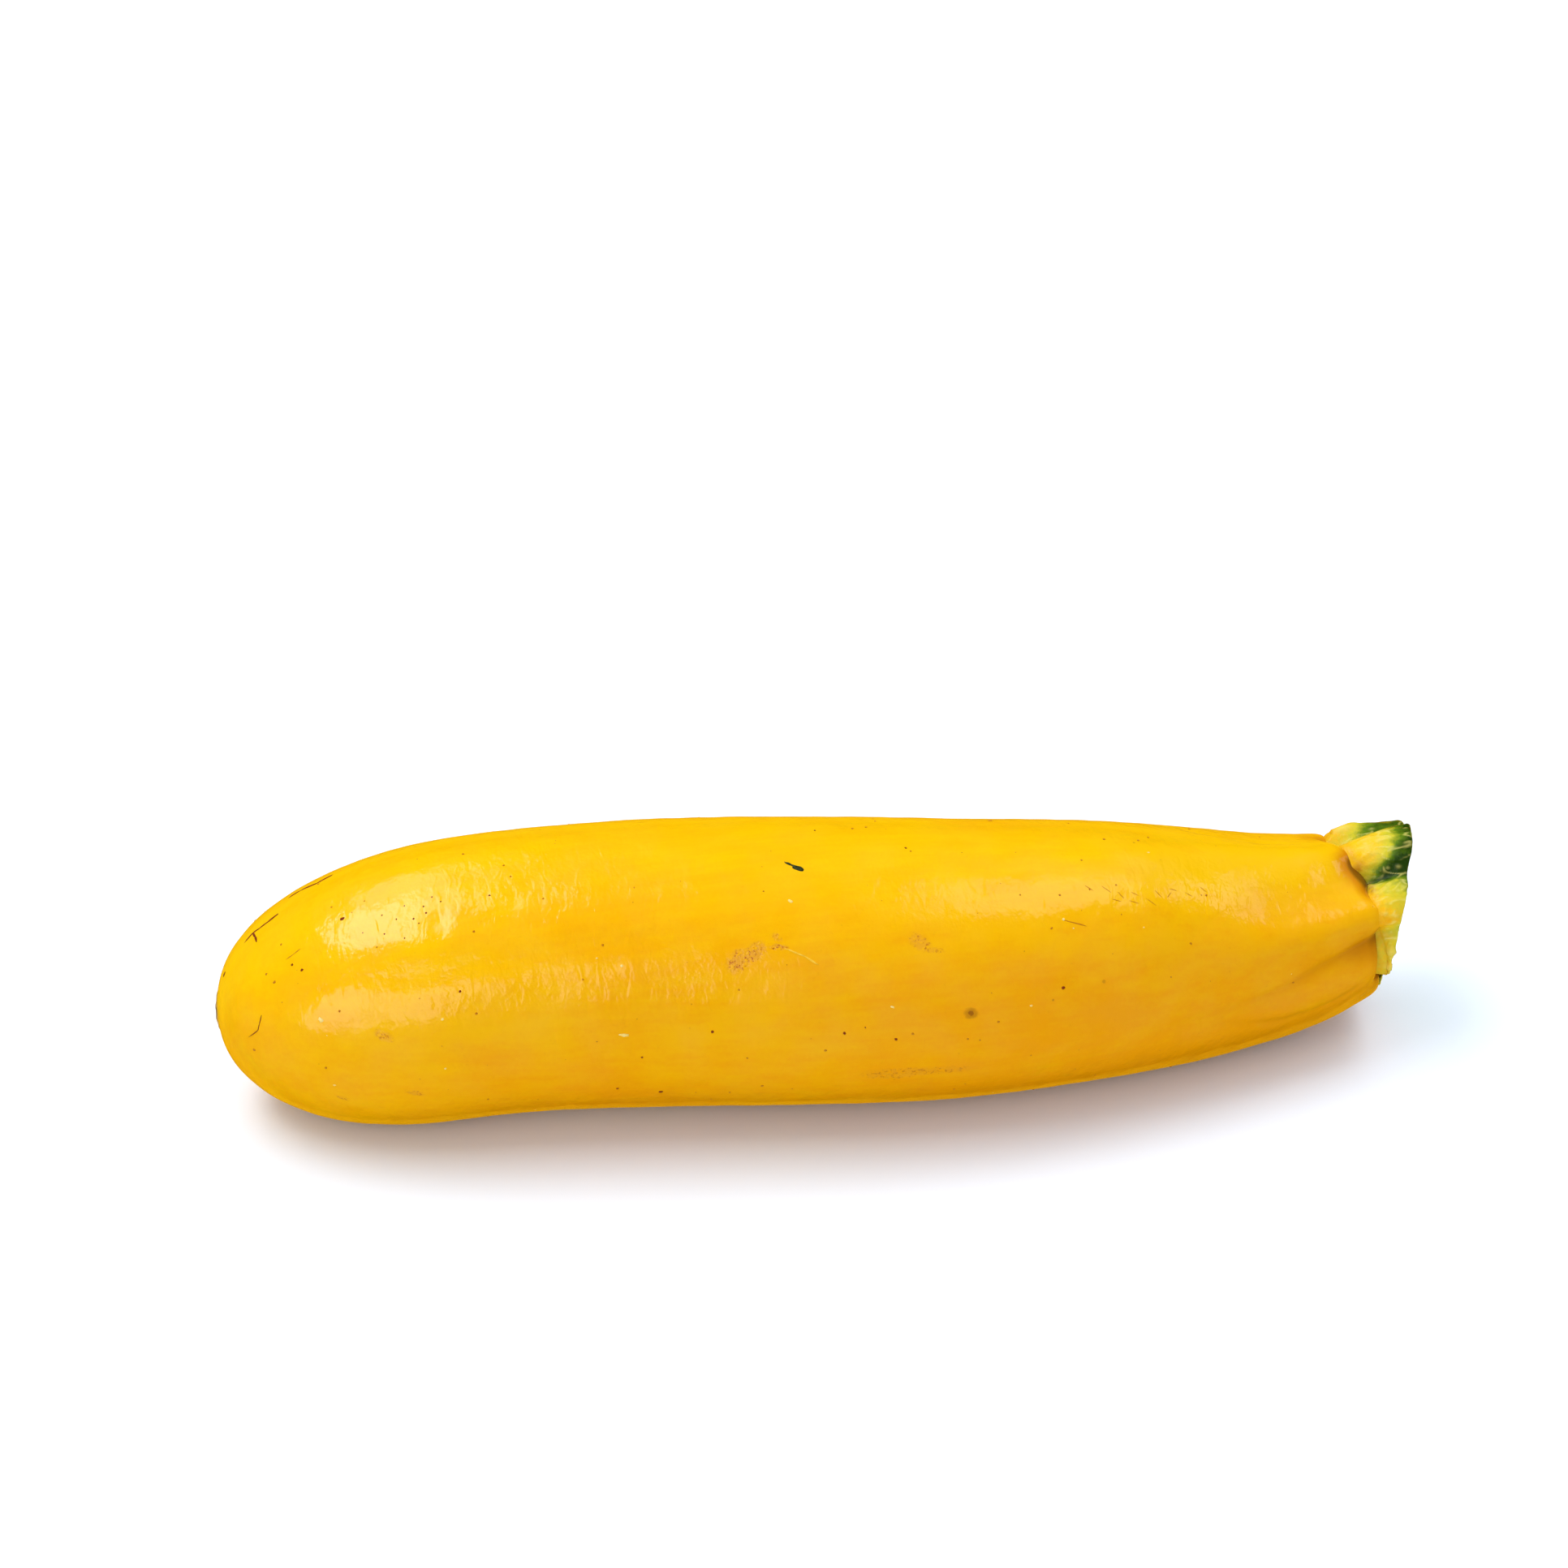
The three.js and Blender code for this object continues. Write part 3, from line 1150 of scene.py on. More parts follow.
        # A lead of even rings up to the lip, a quarter turn over it, and the rings that close the fruit.
        lead_rows, roll_rows, closing_rows = 28, 22, 3
        start = end - 1.6 - 0.5 * drop
        lead = self.even_end + (start - self.even_end) * np.linspace(0.0, 1.0, lead_rows)[1:, None]
        roll = np.linspace(0.0, math.pi / 2, roll_rows)[1:]
        turn = np.concatenate((roll, np.full(closing_rows, math.pi / 2)))[:, None]
        s = np.concatenate((lead, start + (end - start) * np.sin(turn)))
        share = np.concatenate((np.zeros_like(lead), (1.0 - np.cos(turn)) * np.ones_like(end)))
        # Painted shade in the roll, strongest where the lip drops deepest.
        return s, drop * share, 0.9 * np.sqrt(share) * np.minimum(drop / 2.5, 1.0)

    def tip(self) -> Array:
        """The middle of the blossom scar in the growth frame: across and up."""
        first = self.curve.stations[0]
        return np.array((first.side, first.height)) + self.scar_offset

    def scar_relief(self, reach: Array, angle: Array) -> Array:
        """Rise of the blossom scar: a broken corky ring round a sunken middle.

        Args:
            reach: distance from the scar's middle.
            angle: angles round it.

        Returns:
            The rise at each place.
        """
        broken = 1.0 + 0.25 * np.sin(np.radians(angle) * 5 + 0.7) + 0.15 * np.sin(np.radians(angle) * 11)
        ring = 0.20 * broken * bell(reach, 0.42, self.scar_radius)
        bowl = -0.45 * (1.0 - smoothstep(reach, 0.8, 2.7))
        style = 0.5 * bell(reach, 0.55)
        return ring + bowl + style


FRUIT = Fruit()


def broad_marks() -> list[Mark]:
    """The chip of leaf, the brown spots and the tan scuffs.

    Returns:
        The marks.
    """
    chips = ((94.0, 108.2, 2.2, 1.15, 30), (92.9, 106.2, 1.9, 0.55, 32))
    spots = (
        (119.5, 169.4, 2.4, 1.9, 20, 0.45), (119.5, 169.4, 1.2, 1.0, 20, 0.85),
        (142.0, 160.3, 0.8, 0.6, 0, 0.35),
    )
    scuffs = (
        (82.8, 147.0, 4.6, 3.2, -40), (85.6, 143.5, 4.0, 2.6, -40), (89.3, 141.8, 3.2, 0.9, 0, 0.9),
        (89.2, 138.0, 1.8, 1.2, 35, 0.8), (112.0, 140.4, 4.2, 2.4, 35, 0.75),
        (114.0, 143.6, 3.6, 1.0, 5, 0.55), (26.0, 165.5, 3.6, 1.7, 35, 0.6),
        (111.5, 197.5, 18.0, 2.0, 0, 0.6), (106.0, 199.5, 8.0, 1.8, 5, 0.6),
        (30.5, 195.5, 3.2, 1.2, 25, 0.7), (19.0, 199.5, 2.4, 1.0, 20, 0.6),
    )
    tables = {MarkKind.CHIP: chips, MarkKind.SPOT: spots, MarkKind.SCUFF: scuffs}
    return [Mark(kind, *place) for kind, places in tables.items() for place in places]


def crack_marks() -> list[Mark]:
    """The healed scratch, the dark scratches round the nose, and fine cracks.

    Returns:
        The marks, one for each stretch of a line.
    """
    lines = (
        (MarkKind.THREAD, 0.36, ((90.5, 142.4), (93.3, 145.3), (95.2, 148.4))),
        (MarkKind.SCRATCH, 0.62, ((10.8, 85), (9.3, 86.3))),
        (MarkKind.SCRATCH, 0.42, ((9.3, 86.3), (7.7, 86), (6.7, 84.5), (5.4, 86.7))),
        (MarkKind.SCRATCH, 0.38, ((6.7, 86), (7.0, 92), (7.1, 97.7))),
        (MarkKind.SCRATCH, 0.55, ((13, 71), (15, 71.4), (17.7, 73.4), (20.3, 71.7))),
        (MarkKind.FAINT, 0.22, ((11.6, 122), (12.9, 120.5), (13.9, 119))),
        (MarkKind.SCRATCH, 0.2, ((7.0, 152.6), (6.6, 158.1), (6.3, 162.2), (4.8, 168.8))),
        (MarkKind.FAINT, 0.24, ((136.2, 133.4), (139.6, 136.2))),
    )
    # Fine cracks on the front towards the stem: place, and how far each runs along and round.
    cracks = (
        (140.6, 118.6, 1.1, 1.6), (143.4, 119.4, 1.4, 2.2), (145.9, 122.4, 0.9, 2.0),
        (148.2, 122.6, 1.2, 1.2), (144.8, 125.4, 1.3, 0.8), (147.6, 126.4, 1.6, 1.0),
        (150.8, 126.0, 1.4, 2.0), (152.6, 122.2, 0.8, 1.8), (155.4, 121.0, 1.2, 0.6),
        (154.6, 125.2, 0.9, -1.6), (158.2, 122.8, 1.1, 1.2), (161.4, 119.6, 0.9, 1.6),
    )
    crack_width, swing = 0.15, 1.5
    marks = [mark for kind, width, points in lines for mark in line_marks(kind, width, points)]
    for s, angle, run, turn in cracks:
        marks += line_marks(MarkKind.FAINT, crack_width, ((s, angle), (s + run, angle + swing * turn)))
    return marks


@dataclass(frozen=True)
class SpeckFinish:
    """A dry speck's colours and roughness."""

    name: str
    main: Colour
    other: Colour
    roughness: float
    specular: float = 0.1
    relief_depth: float = 0.04

    def make(self) -> bpy.types.Material:
        """Makes the material.

        Returns:
            The material.
        """
        bench = NodeBench(self.name)
        grain = bench.span(bench.grain(bench.places(), 3.0, 3, 0.7), 0.35, 0.65)
        return bench.finish({
            "Base Color": bench.mix(grain, self.main, self.other),
            "Roughness": self.roughness,
            "Specular IOR Level": self.specular,
            "Normal": bench.bump(grain, self.relief_depth),
        })


@dataclass(frozen=True)
class Specks:
    """Small scabs of one kind on the skin, each a low uneven blister."""

    name: str
    finish: SpeckFinish
    kinds: tuple[MarkKind, ...]
    scattered: int
    sizes: Pair
    seed: int
    sides: int = 12
    sink: float = 0.10
    highest: float = 0.09
    steepness: float = 0.22

    def build(self, ground: Ground, marks: Sequence[Mark]) -> bpy.types.Object:
        """Makes the specks as one piece.

        Args:
            ground: the finished skin.
            marks: the marks, of which it makes its own kinds.

        Returns:
            The piece, with its material.
        """
        draw = np.random.default_rng(self.seed)
        own = [mark for mark in marks if mark.kind in self.kinds]
        own += [self.chance(draw) for _ in range(self.scattered)]
        blisters = [self.blister(ground, mark, draw) for mark in own]
        faces: list[list[int]] = []
        for number in range(len(own)):
            first = number * len(blisters[0])
            faces += [[first + index for index in face] for face in self.facing()]
        piece = new_piece(self.name, np.vstack(blisters), faces)
        piece.data.materials.append(self.finish.make())
        return piece

    def chance(self, draw: np.random.Generator) -> Mark:
        """A speck at a random place.

        Args:
            draw: source of its size and place.

        Returns:
            The speck's mark.
        """
        size = self.sizes[0] + (self.sizes[1] - self.sizes[0]) * draw.uniform() ** 2.5
        width = size * draw.uniform(0.6, 1.0)
        s, angle, heading = (draw.uniform(*ends) for ends in ((6, 180), (0, 360), (0, 180)))
        return Mark(self.kinds[0], s, angle, size, width, heading)

    def blister(self, ground: Ground, mark: Mark, draw: np.random.Generator) -> Array:
        """Points of one speck: two rings, a top and a foot under the skin.

        Args:
            ground: the finished skin.
            mark: the speck.
            draw: source of its uneven outline.

        Returns:
            The points, top first.
        """
        turn = np.arange(self.sides) * 2 * math.pi / self.sides
        uneven = 1.0 + draw.uniform(-0.22, 0.22, self.sides)
        heading = math.radians(mark.heading)
        height = min(self.highest, self.steepness * mark.width)
        reach = float(FRUIT.girth(np.array([mark.s]))[0])
        rings = []
        # The top, the ring on the blister, the outline just under the skin, and the foot.
        for share, lift in ((0.0, height), (0.62, height * 0.8), (1.0, -0.02), (0.0, -self.sink)):
            x = 0.5 * mark.length * share * uneven * np.cos(turn)
            y = 0.5 * mark.width * share * uneven * np.sin(turn)
            s = mark.s + x * math.cos(heading) - y * math.sin(heading)
            angle = mark.angle + np.degrees((x * math.sin(heading) + y * math.cos(heading)) / reach)
            ring = ground.points(s, angle, np.full(self.sides, lift))
            rings.append(ring if share else ring[:1])
        return np.vstack(rings)

    def facing(self) -> list[list[int]]:
        """Joins the points of one speck.

        Returns:
            The faces, as indices of its points.
        """
        inner = range(1, 1 + self.sides)
        faces = []
        for a, b in zip(inner, (*inner[1:], 1)):
            c, d = a + self.sides, b + self.sides
            faces += [[0, b, a], [a, b, d, c], [c, d, 1 + 2 * self.sides]]
        return faces


DRY_DIRT = SpeckFinish("dry_speck", (0.180, 0.016, 0.001), (0.280, 0.040, 0.001), 0.75)
OLD_DOT = SpeckFinish("old_dot", (0.480, 0.140, 0.002), (0.600, 0.220, 0.004), 0.6)
PALE_SCAB = SpeckFinish("pale_scab", (0.930, 0.640, 0.120), (0.940, 0.720, 0.260), 0.5)
HEALED = SpeckFinish("healed", (0.900, 0.480, 0.012), (0.920, 0.560, 0.050), 0.5)
GREEN_CHIP = SpeckFinish("green_chip", (0.012, 0.018, 0.005), (0.060, 0.070, 0.018), 0.35)
SPECK_SETS = (
    Specks("dark_specks", DRY_DIRT, (MarkKind.SPECK, MarkKind.SCRATCH), 14, (0.18, 0.42), 11),
    Specks("faint_specks", OLD_DOT, (MarkKind.FAINT,), 170, (0.20, 0.55), 12),
    Specks("pale_specks", PALE_SCAB, (MarkKind.PALE,), 10, (0.20, 0.45), 23),
    Specks("healed_scratch", HEALED, (MarkKind.THREAD,), 0, (1.0, 1.0), 3),
    Specks("leaf_chip", GREEN_CHIP, (MarkKind.CHIP,), 0, (1.0, 1.0), 5, 16),
)


# --- The stem ---------------------------------------------------------------------------------------------


@dataclass(frozen=True)
class StemRind:
    """The stem's rind: golden at the foot, then lime, and dark green towards the cut."""

    straw: Colour = (0.830, 0.530, 0.014)
    lime: Colour = (0.600, 0.520, 0.022)
    leaf: Colour = (0.110, 0.200, 0.006)
    dark: Colour = (0.017, 0.048, 0.001)
    # Pale warts and knobs, and painted highlights on the crests of wrinkles.
    wart_and_glint: Colour = (0.830, 0.710, 0.170)
    cork: Colour = (0.520, 0.270, 0.060)
    flesh: Colour = (0.470, 0.530, 0.210)
    flesh_pale: Colour = (0.620, 0.640, 0.310)
    vein: Colour = (0.110, 0.170, 0.040)
    roughness: Pair = (0.15, 0.26)
    cut_roughness: float = 0.3
    ior: float = 1.42
    specular: float = 0.36
    relief_depth: float = 0.11

    def make(self, skin: WaxySkin) -> bpy.types.Material:
        """Makes the material.

        Args:
            skin: the fruit's finish, which the foot of the stem shares.

        Returns:
            The material, which reads the stem's layers.
        """
        bench = NodeBench("stem_rind")
        places = bench.places()
        grain = bench.grain(places, 1.1, 4, 0.7)
        green = bench.math("ADD", bench.layer("green"), bench.span(grain, 0.3, 0.7, (-0.05, 0.06)))
        ramp = bench.add("ValToRGB", {"Fac": green})
        stops = ((0.14, self.straw), (0.42, self.lime), (0.68, self.leaf), (0.95, self.dark))
        while len(ramp.color_ramp.elements) < len(stops):
            ramp.color_ramp.elements.new(0.5)
        for element, (position, colour) in zip(ramp.color_ramp.elements, stops):
            element.position = position
            element.color = (*colour, 1.0)
        # The golden foot takes the fruit's colour, with its painted light and shade.
        colour = bench.mix(bench.span(green, -0.06, 0.26), skin.ground(bench, places), ramp.outputs[0])
        colour = bench.mix(bench.layer("pale"), colour, self.wart_and_glint)
        colour = bench.mix(bench.layer("cork"), colour, self.cork)
        fibre = bench.grain(places, 0.55, 4, 0.6)
        flesh = bench.mix(bench.span(fibre, 0.25, 0.75), self.flesh, self.flesh_pale)
        flesh = bench.mix(bench.layer("vein"), flesh, self.vein)
        cut = bench.layer("cut")
        colour = bench.mix(cut, colour, flesh)
        height = bench.total((bench.grain(places, 1.4, 3, 0.6), 1.0), (bench.grain(places, 3.2), 0.5))
        rough = bench.span(grain, 0.3, 0.7, self.roughness)
        return bench.finish({
            "Base Color": colour,
            "Roughness": bench.math("MULTIPLY_ADD", cut, self.cut_roughness, rough),
            "IOR": self.ior,
            "Specular IOR Level": self.specular,
            "Normal": bench.bump(height, self.relief_depth),
        })


@dataclass(frozen=True)
class StemLine:
    """The stem along one angle: its radius and its greenness at the foot, at each quarter and at the cut."""

    angle: float
    radii: tuple[float, ...]
    greens: tuple[float, ...]


@dataclass(frozen=True)
class Knob:
    """An oval bump of the rind: its place along and round the stem, its half length and half width, its rise,
    and how pale it is."""

    along: float
    angle: float
    length: float
    width: float
    rise: float
    pale: float


@dataclass(frozen=True)
class Stem:
    """The stub of stem: seven ribs that rise out of the fruit's ridges and end at the knife cut."""

    cut: Slant = Slant(198.3, -2.2, 20.7, -10, -12)
    # How far the foot reaches into the fruit, and the place s whose yellow, painted light and shade included,
    # it carries on.
    sunk: float = 4.5
    tone_at: float = 190.0
    # How far its inner end sinks in, and how far the foot stays below the skin over it.
    inner_depth: float = 1.4
    lip_depth: float = 0.7
    foot_rows: int = 16
    bevel: float = 0.45
    columns: int = 480
    side_rows: int = 96
    wart_count: int = 90
    wart_seed: int = 7
    vein_count: int = 14
    lines: tuple[StemLine, ...] = (
        StemLine(20, (9.6, 10.9, 11.8, 12.4, 12.6), (0.30, 0.70, 0.90, 1.0, 1.0)),
        StemLine(46, (13.2, 14.0, 14.1, 14.0, 13.9), (0.06, 0.22, 0.60, 0.90, 1.0)),
        StemLine(59, (13.8, 14.3, 14.1, 13.9, 13.7), (0.10, 0.22, 0.70, 0.88, 0.95)),
        StemLine(71, (11.0, 12.0, 12.7, 12.9, 12.9), (0.26, 0.50, 0.74, 0.80, 0.86)),
        StemLine(80, (12.1, 12.9, 13.7, 14.2, 14.4), (0.04, 0.14, 0.40, 0.76, 1.0)),
        StemLine(90, (13.3, 13.9, 14.4, 14.8, 14.9), (0.02, 0.10, 0.26, 0.64, 1.00)),
        StemLine(100, (13.2, 13.8, 14.4, 14.9, 15.0), (0.02, 0.10, 0.28, 0.72, 1.0)),
        StemLine(109, (11.9, 12.8, 13.7, 14.3, 14.6), (0.02, 0.16, 0.44, 0.86, 1.0)),
        StemLine(116, (10.0, 11.0, 12.1, 13.0, 13.4), (0.20, 0.52, 0.86, 1.0, 1.0)),
        StemLine(122, (8.9, 10.0, 11.1, 12.0, 12.3), (0.40, 0.74, 0.95, 1.0, 1.0)),
        StemLine(129, (10.2, 11.4, 12.3, 12.8, 12.9), (0.16, 0.36, 0.52, 0.60, 0.74)),
        StemLine(138, (12.6, 13.3, 13.6, 13.7, 13.6), (0.08, 0.22, 0.31, 0.36, 0.50)),
        StemLine(147, (14.1, 14.2, 14.1, 14.0, 13.8), (0.04, 0.13, 0.22, 0.25, 0.34)),
        StemLine(157, (13.7, 13.8, 13.8, 13.6, 13.3), (0.00, 0.03, 0.12, 0.17, 0.28)),
        StemLine(167, (11.2, 11.8, 12.2, 12.4, 12.4), (0.14, 0.24, 0.32, 0.38, 0.46)),
        StemLine(180, (12.4, 13.0, 13.3, 13.2, 13.0), (0.22, 0.25, 0.27, 0.30, 0.40)),
        StemLine(193, (12.9, 13.5, 13.6, 13.5, 13.3), (0.20, 0.23, 0.25, 0.28, 0.38)),
        StemLine(206, (12.8, 13.4, 13.5, 13.3, 13.1), (0.20, 0.23, 0.25, 0.28, 0.36)),
        StemLine(219, (11.0, 11.6, 12.1, 12.3, 12.3), (0.20, 0.26, 0.34, 0.48, 0.60)),
        StemLine(245, (12.8, 13.4, 13.7, 13.7, 13.6), (0.00, 0.10, 0.30, 0.64, 0.92)),
        StemLine(272, (9.8, 10.9, 11.7, 12.1, 12.2), (0.30, 0.62, 0.86, 0.96, 1.0)),
        StemLine(300, (12.9, 13.5, 13.8, 13.9, 13.8), (0.00, 0.12, 0.36, 0.76, 0.96)),
        StemLine(327, (9.8, 10.9, 11.7, 12.1, 12.2), (0.30, 0.70, 0.92, 1.0, 1.0)),
        StemLine(354, (12.9, 13.6, 13.9, 14.0, 13.9), (0.00, 0.14, 0.42, 0.82, 1.0)),
    )
    knobs: tuple[Knob, ...] = (
        Knob(0.13, 61, 1.5, 0.8, 0.35, 0.45),
        Knob(0.30, 56, 1.2, 0.7, 0.20, 0.25),
        Knob(0.48, 182, 0.9, 0.8, 0.38, 0.35),
        Knob(0.50, 196, 1.0, 0.9, 0.42, 0.35),
        Knob(0.45, 209, 0.9, 0.7, 0.22, 0.20),
        # Long low knobs down the upper rib, painted pale partly as glints.
        Knob(0.22, 99, 1.6, 0.5, 0.16, 0.30),
        Knob(0.30, 92, 1.8, 0.4, 0.14, 0.25),
        Knob(0.36, 105, 1.4, 0.45, 0.15, 0.25),
        Knob(0.55, 97, 1.5, 0.6, 0.20, 0.30),
    )

    def build(self, fruit: Fruit, shift: Array, finish: StemRind, skin: WaxySkin) -> bpy.types.Object:
        """Makes the stem and dresses it.

        Args:
            fruit: the fruit that the stem grows from.
            shift: from the growth frame to the part's frame, in millimetres.
            finish: its finish.
            skin: the fruit's finish.

        Returns:
            The piece.
        """
        rings, middle, layers = self.surface(fruit)
        rings = rings + shift
        piece = RoundSkin(rings, rings[0].mean(axis=0), middle + shift, layers).build("stem_stub")
        piece.data.materials.append(finish.make(skin))
        return piece

    def spread(self, rows: Sequence[Sequence[float]], along: Array, angle: Array) -> Array:
        """Spreads values given for each line all over the stem.

        Args:
            rows: for each line, the values at the foot, at each quarter and at the cut.
            along: shares from the foot to the cut.
            angle: angles round the stem.

        Returns:
            The value for each share and angle.
        """
        turns = [line.angle for line in self.lines]
        turns = [turn - 360.0 for turn in turns[-2:]] + turns + [turn + 360.0 for turn in turns[:2]]
        table = np.array([*rows[-2:], *rows, *rows[:2]], float)
        each = threaded(turns, table, angle)
        return threaded(np.linspace(0.0, 1.0, table.shape[1]), each.T, along)

    def surface(self, fruit: Fruit) -> tuple[Array, Array, dict[str, Array]]:
        """The stem's rings and layers.

        Args:
            fruit: the fruit that the stem grows from.

        Returns:
            The rings in the growth frame, the middle of the cut, and the layers that the finish reads.
        """
        angle = np.arange(self.columns) * 360.0 / self.columns
        inside = self.inside(fruit, angle)
        side, along = self.side(fruit, angle)
        rings = np.concatenate((inside, side))
        along = np.concatenate((np.linspace(-0.45, -0.03, len(inside)), along))[:, None]
        rise, pale, cork = self.roughen(rings, along, angle)
        rings = rings + outward(rings) * rise[..., None]
        green = self.greenness(rings, along, angle)
        face, face_layers = self.cut_face(rings[-1], angle)
        middle = face[-1].mean(axis=0)
        full = np.concatenate((rings, face))
        whole = full.shape[:2]
        side = {"pale": pale, "cork": cork, "crease": self.shade_and_tinge(along, angle)}
        no_face, no_side = np.zeros(face.shape[:2]), np.zeros(rings.shape[:2])
        layers = {name: np.concatenate((values, no_face)) for name, values in side.items()}
        layers |= {name: np.concatenate((no_side, values)) for name, values in face_layers.items()}
        layers["green"] = np.concatenate((green, np.repeat(green[-1:], len(face), axis=0)))
        layers["tone"] = fruit.tone(full, np.full(whole, self.tone_at), np.broadcast_to(angle, whole))
        return full, middle, layers

    @staticmethod
    def shade_and_tinge(along: Array, angle: Array) -> Array:
        """Painted shade in the crease colour at the stem's foot: hardly any on the upper front rib, most in
        the groove above.

        Args:
            along: shares from the foot to the cut.
            angle: angles round the stem.

        Returns:
            How much painted shade each place has.
        """
        rib, groove = 150.0, 115.0
        foot = 0.24 - 0.20 * bell(between(angle, rib), 11.0)[None]
        foot = (1.0 - smoothstep(along, -0.02, 0.14)) * foot
        dark = 0.85 * bell(between(angle, groove), 8.0)[None] * (1.0 - smoothstep(along, 0.02, 0.30))
        return np.maximum(foot, dark)

    def inside(self, fruit: Fruit, angle: Array) -> Array:
        """The stem's foot, which lies under the fruit's rolled lip.

        Args:
            fruit: the fruit that the stem grows from.
            angle: angles round the stem.

        Returns:
            The rings.
        """
        seat = fruit.seat.x
        s = np.linspace(seat - self.sunk, seat, self.foot_rows + 1)[:-1, None]
        foot = self.spread([line.radii for line in self.lines], np.zeros(1), angle)
        s, around = np.broadcast_arrays(s, angle[None])
        plain = fruit.girth(s) + fruit.ribs.ridge(s, around, seat)
        rise, _ = fruit.relief(s, around)
        sink = self.inner_depth * (1.0 - smoothstep(s, seat - self.sunk, seat - 0.2))
        under = self.lip_depth * (1.0 - smoothstep(s, seat - 1.8, seat - 0.2))
        return fruit.ring(s, around, np.minimum(foot - sink - plain, rise - under - sink))

    def side(self, fruit: Fruit, angle: Array) -> tuple[Array, Array]:
        """The ribbed side, from the seat to the cut's rounded rim.

        Args:
            fruit: the fruit that the stem grows from.
            angle: angles round the stem.

        Returns:
            The rings, and how far along each is.
        """
        along = np.linspace(0.0, 1.0, self.side_rows)
        share = along[:, None]
        x, y, z, pitch, yaw = fruit.seat.towards(self.cut, share)
        radius = self.spread([line.radii for line in self.lines], along, angle)
        rim_start = 0.94
        edge = np.clip((share - rim_start) / (1.0 - rim_start), 0.0, 1.0)
        radius = radius - self.bevel * (1.0 - np.sqrt(np.maximum(1.0 - edge**2, 0.0)))
        return lay_ring(x, y, z, pitch, yaw, radius, angle[None]), along

    def roughen(self, rings: Array, along: Array, angle: Array) -> tuple[Array, ...]:
        """Wrinkles, knobs and warts of the rind, with painted highlights on wrinkle crests.

        Args:
            rings: the plain stem.
            along: how far along each ring is.
            angle: angles round the stem.

        Returns:
            The rise, how pale (warts and painted highlights) and how corky each place is.
        """
        clear = smoothstep(along, 0.0, 0.2) * (1.0 - 0.6 * smoothstep(along, 0.93, 1.0))
        wrinkles = clouds(rings, 1.4, 4.4, 2.0)
        broad = clouds(rings, 3.6, 9.1, 1.5)
        ridged = 1.0 - 2.0 * np.abs(clouds(rings, 1.5, 1.9, 2.2))
        rise = clear * (0.12 * wrinkles + 0.24 * broad + 0.14 * ridged)
        # Painted highlights: the crests of the ridged wrinkles are painted pale.
        pale = 0.50 * clear * smoothstep(ridged, 0.70, 1.0) * smoothstep(wrinkles, -0.2, 0.2)
        # Slanting wrinkles on the upper front rib, their crests painted pale as highlights.
        crest, radius, pitch = 141.0, 13.0, 1.5
        across = np.radians(between(angle, crest))[None] * radius
        slant = (rings[..., 0] * 0.75 + across) + 0.7 * clouds(rings, 2.6, 3.3)
        comb = (0.5 + 0.5 * np.cos(slant * 2 * math.pi / pitch)) ** 1.5
        comb = comb * bell(across, 2.6, -0.6) * clear * smoothstep(broad, -0.35, 0.15)
        rise += 0.24 * comb
        pale = np.maximum(pale, 0.34 * comb**2)
        rise, pale = self.raise_knobs(rings, along, rise, pale)
        # A row of corky beads where the rind meets the fruit, between the two front ribs.
        groove, beads_round = 128.0, 84
        beads = 0.5 + 0.5 * np.sin(np.radians(angle) * beads_round)[None]
        seam = bell(along, 0.09, 0.15) * bell(between(angle, groove), 9.0)[None]
        rise += 0.35 * seam * beads
        rim = smoothstep(along, 0.965, 1.0) * smoothstep(clouds(rings, 1.8, 5.5), 0.05, 0.3)
        pale = np.clip(np.maximum(pale, 0.7 * rim), 0.0, 1.0)
        return rise, pale, np.clip(0.85 * seam * beads, 0.0, 1.0)

    def raise_knobs(self, rings: Array, along: Array, rise: Array, pale: Array) -> tuple[Array, Array]:
        """Adds the named knobs and the scattered warts.

        Args:
            rings: the plain stem.
            along: how far along each ring is.
            rise: the rise so far.
            pale: how pale each place is so far.

        Returns:
            The rise and the paleness with the knobs and warts.
        """
        draw = np.random.default_rng(self.wart_seed)
        knobs = list(self.knobs)
        for _ in range(self.wart_count):
            size = draw.uniform(0.15, 0.34)
            place = draw.uniform(0.10, 0.95), draw.uniform(0, 360)
            knobs.append(Knob(*place, size * 1.5, size, size * 0.42, draw.uniform(0.10, 0.40)))
        for knob in knobs:
            row = int(np.argmin(np.abs(along[:, 0] - knob.along)))
            column = int(round(knob.angle / 360.0 * self.columns)) % self.columns
            away = rings - rings[row, column]
            across = np.linalg.norm(away[..., 1:], axis=-1)
            reach = (away[..., 0] / knob.length) ** 2 + (across / knob.width) ** 2
            bump = np.exp(-(reach**1.2))
            rise = rise + bump * knob.rise
            pale = np.maximum(pale, bump * knob.pale)
        return rise, pale

    def greenness(self, rings: Array, along: Array, angle: Array) -> Array:
        """How green the rind is, from 0, golden, to 1, dark green.

        Args:
            rings: the stem's points.
            along: how far along each ring is.
            angle: angles round the stem.

        Returns:
            The greenness at each place.
        """
        green = self.spread([line.greens for line in self.lines], np.clip(along[:, 0], 0.0, 1.0), angle)
        streak = 0.16 * clouds(rings, 2.4, 6.3, 3.0) + 0.10 * clouds(rings, 0.9, 2.9, 2.0)
        streak = streak * (0.35 + 0.65 * smoothstep(green, 0.25, 0.6))
        return np.clip(green + streak * smoothstep(along, 0.05, 0.3), 0.0, 1.0)

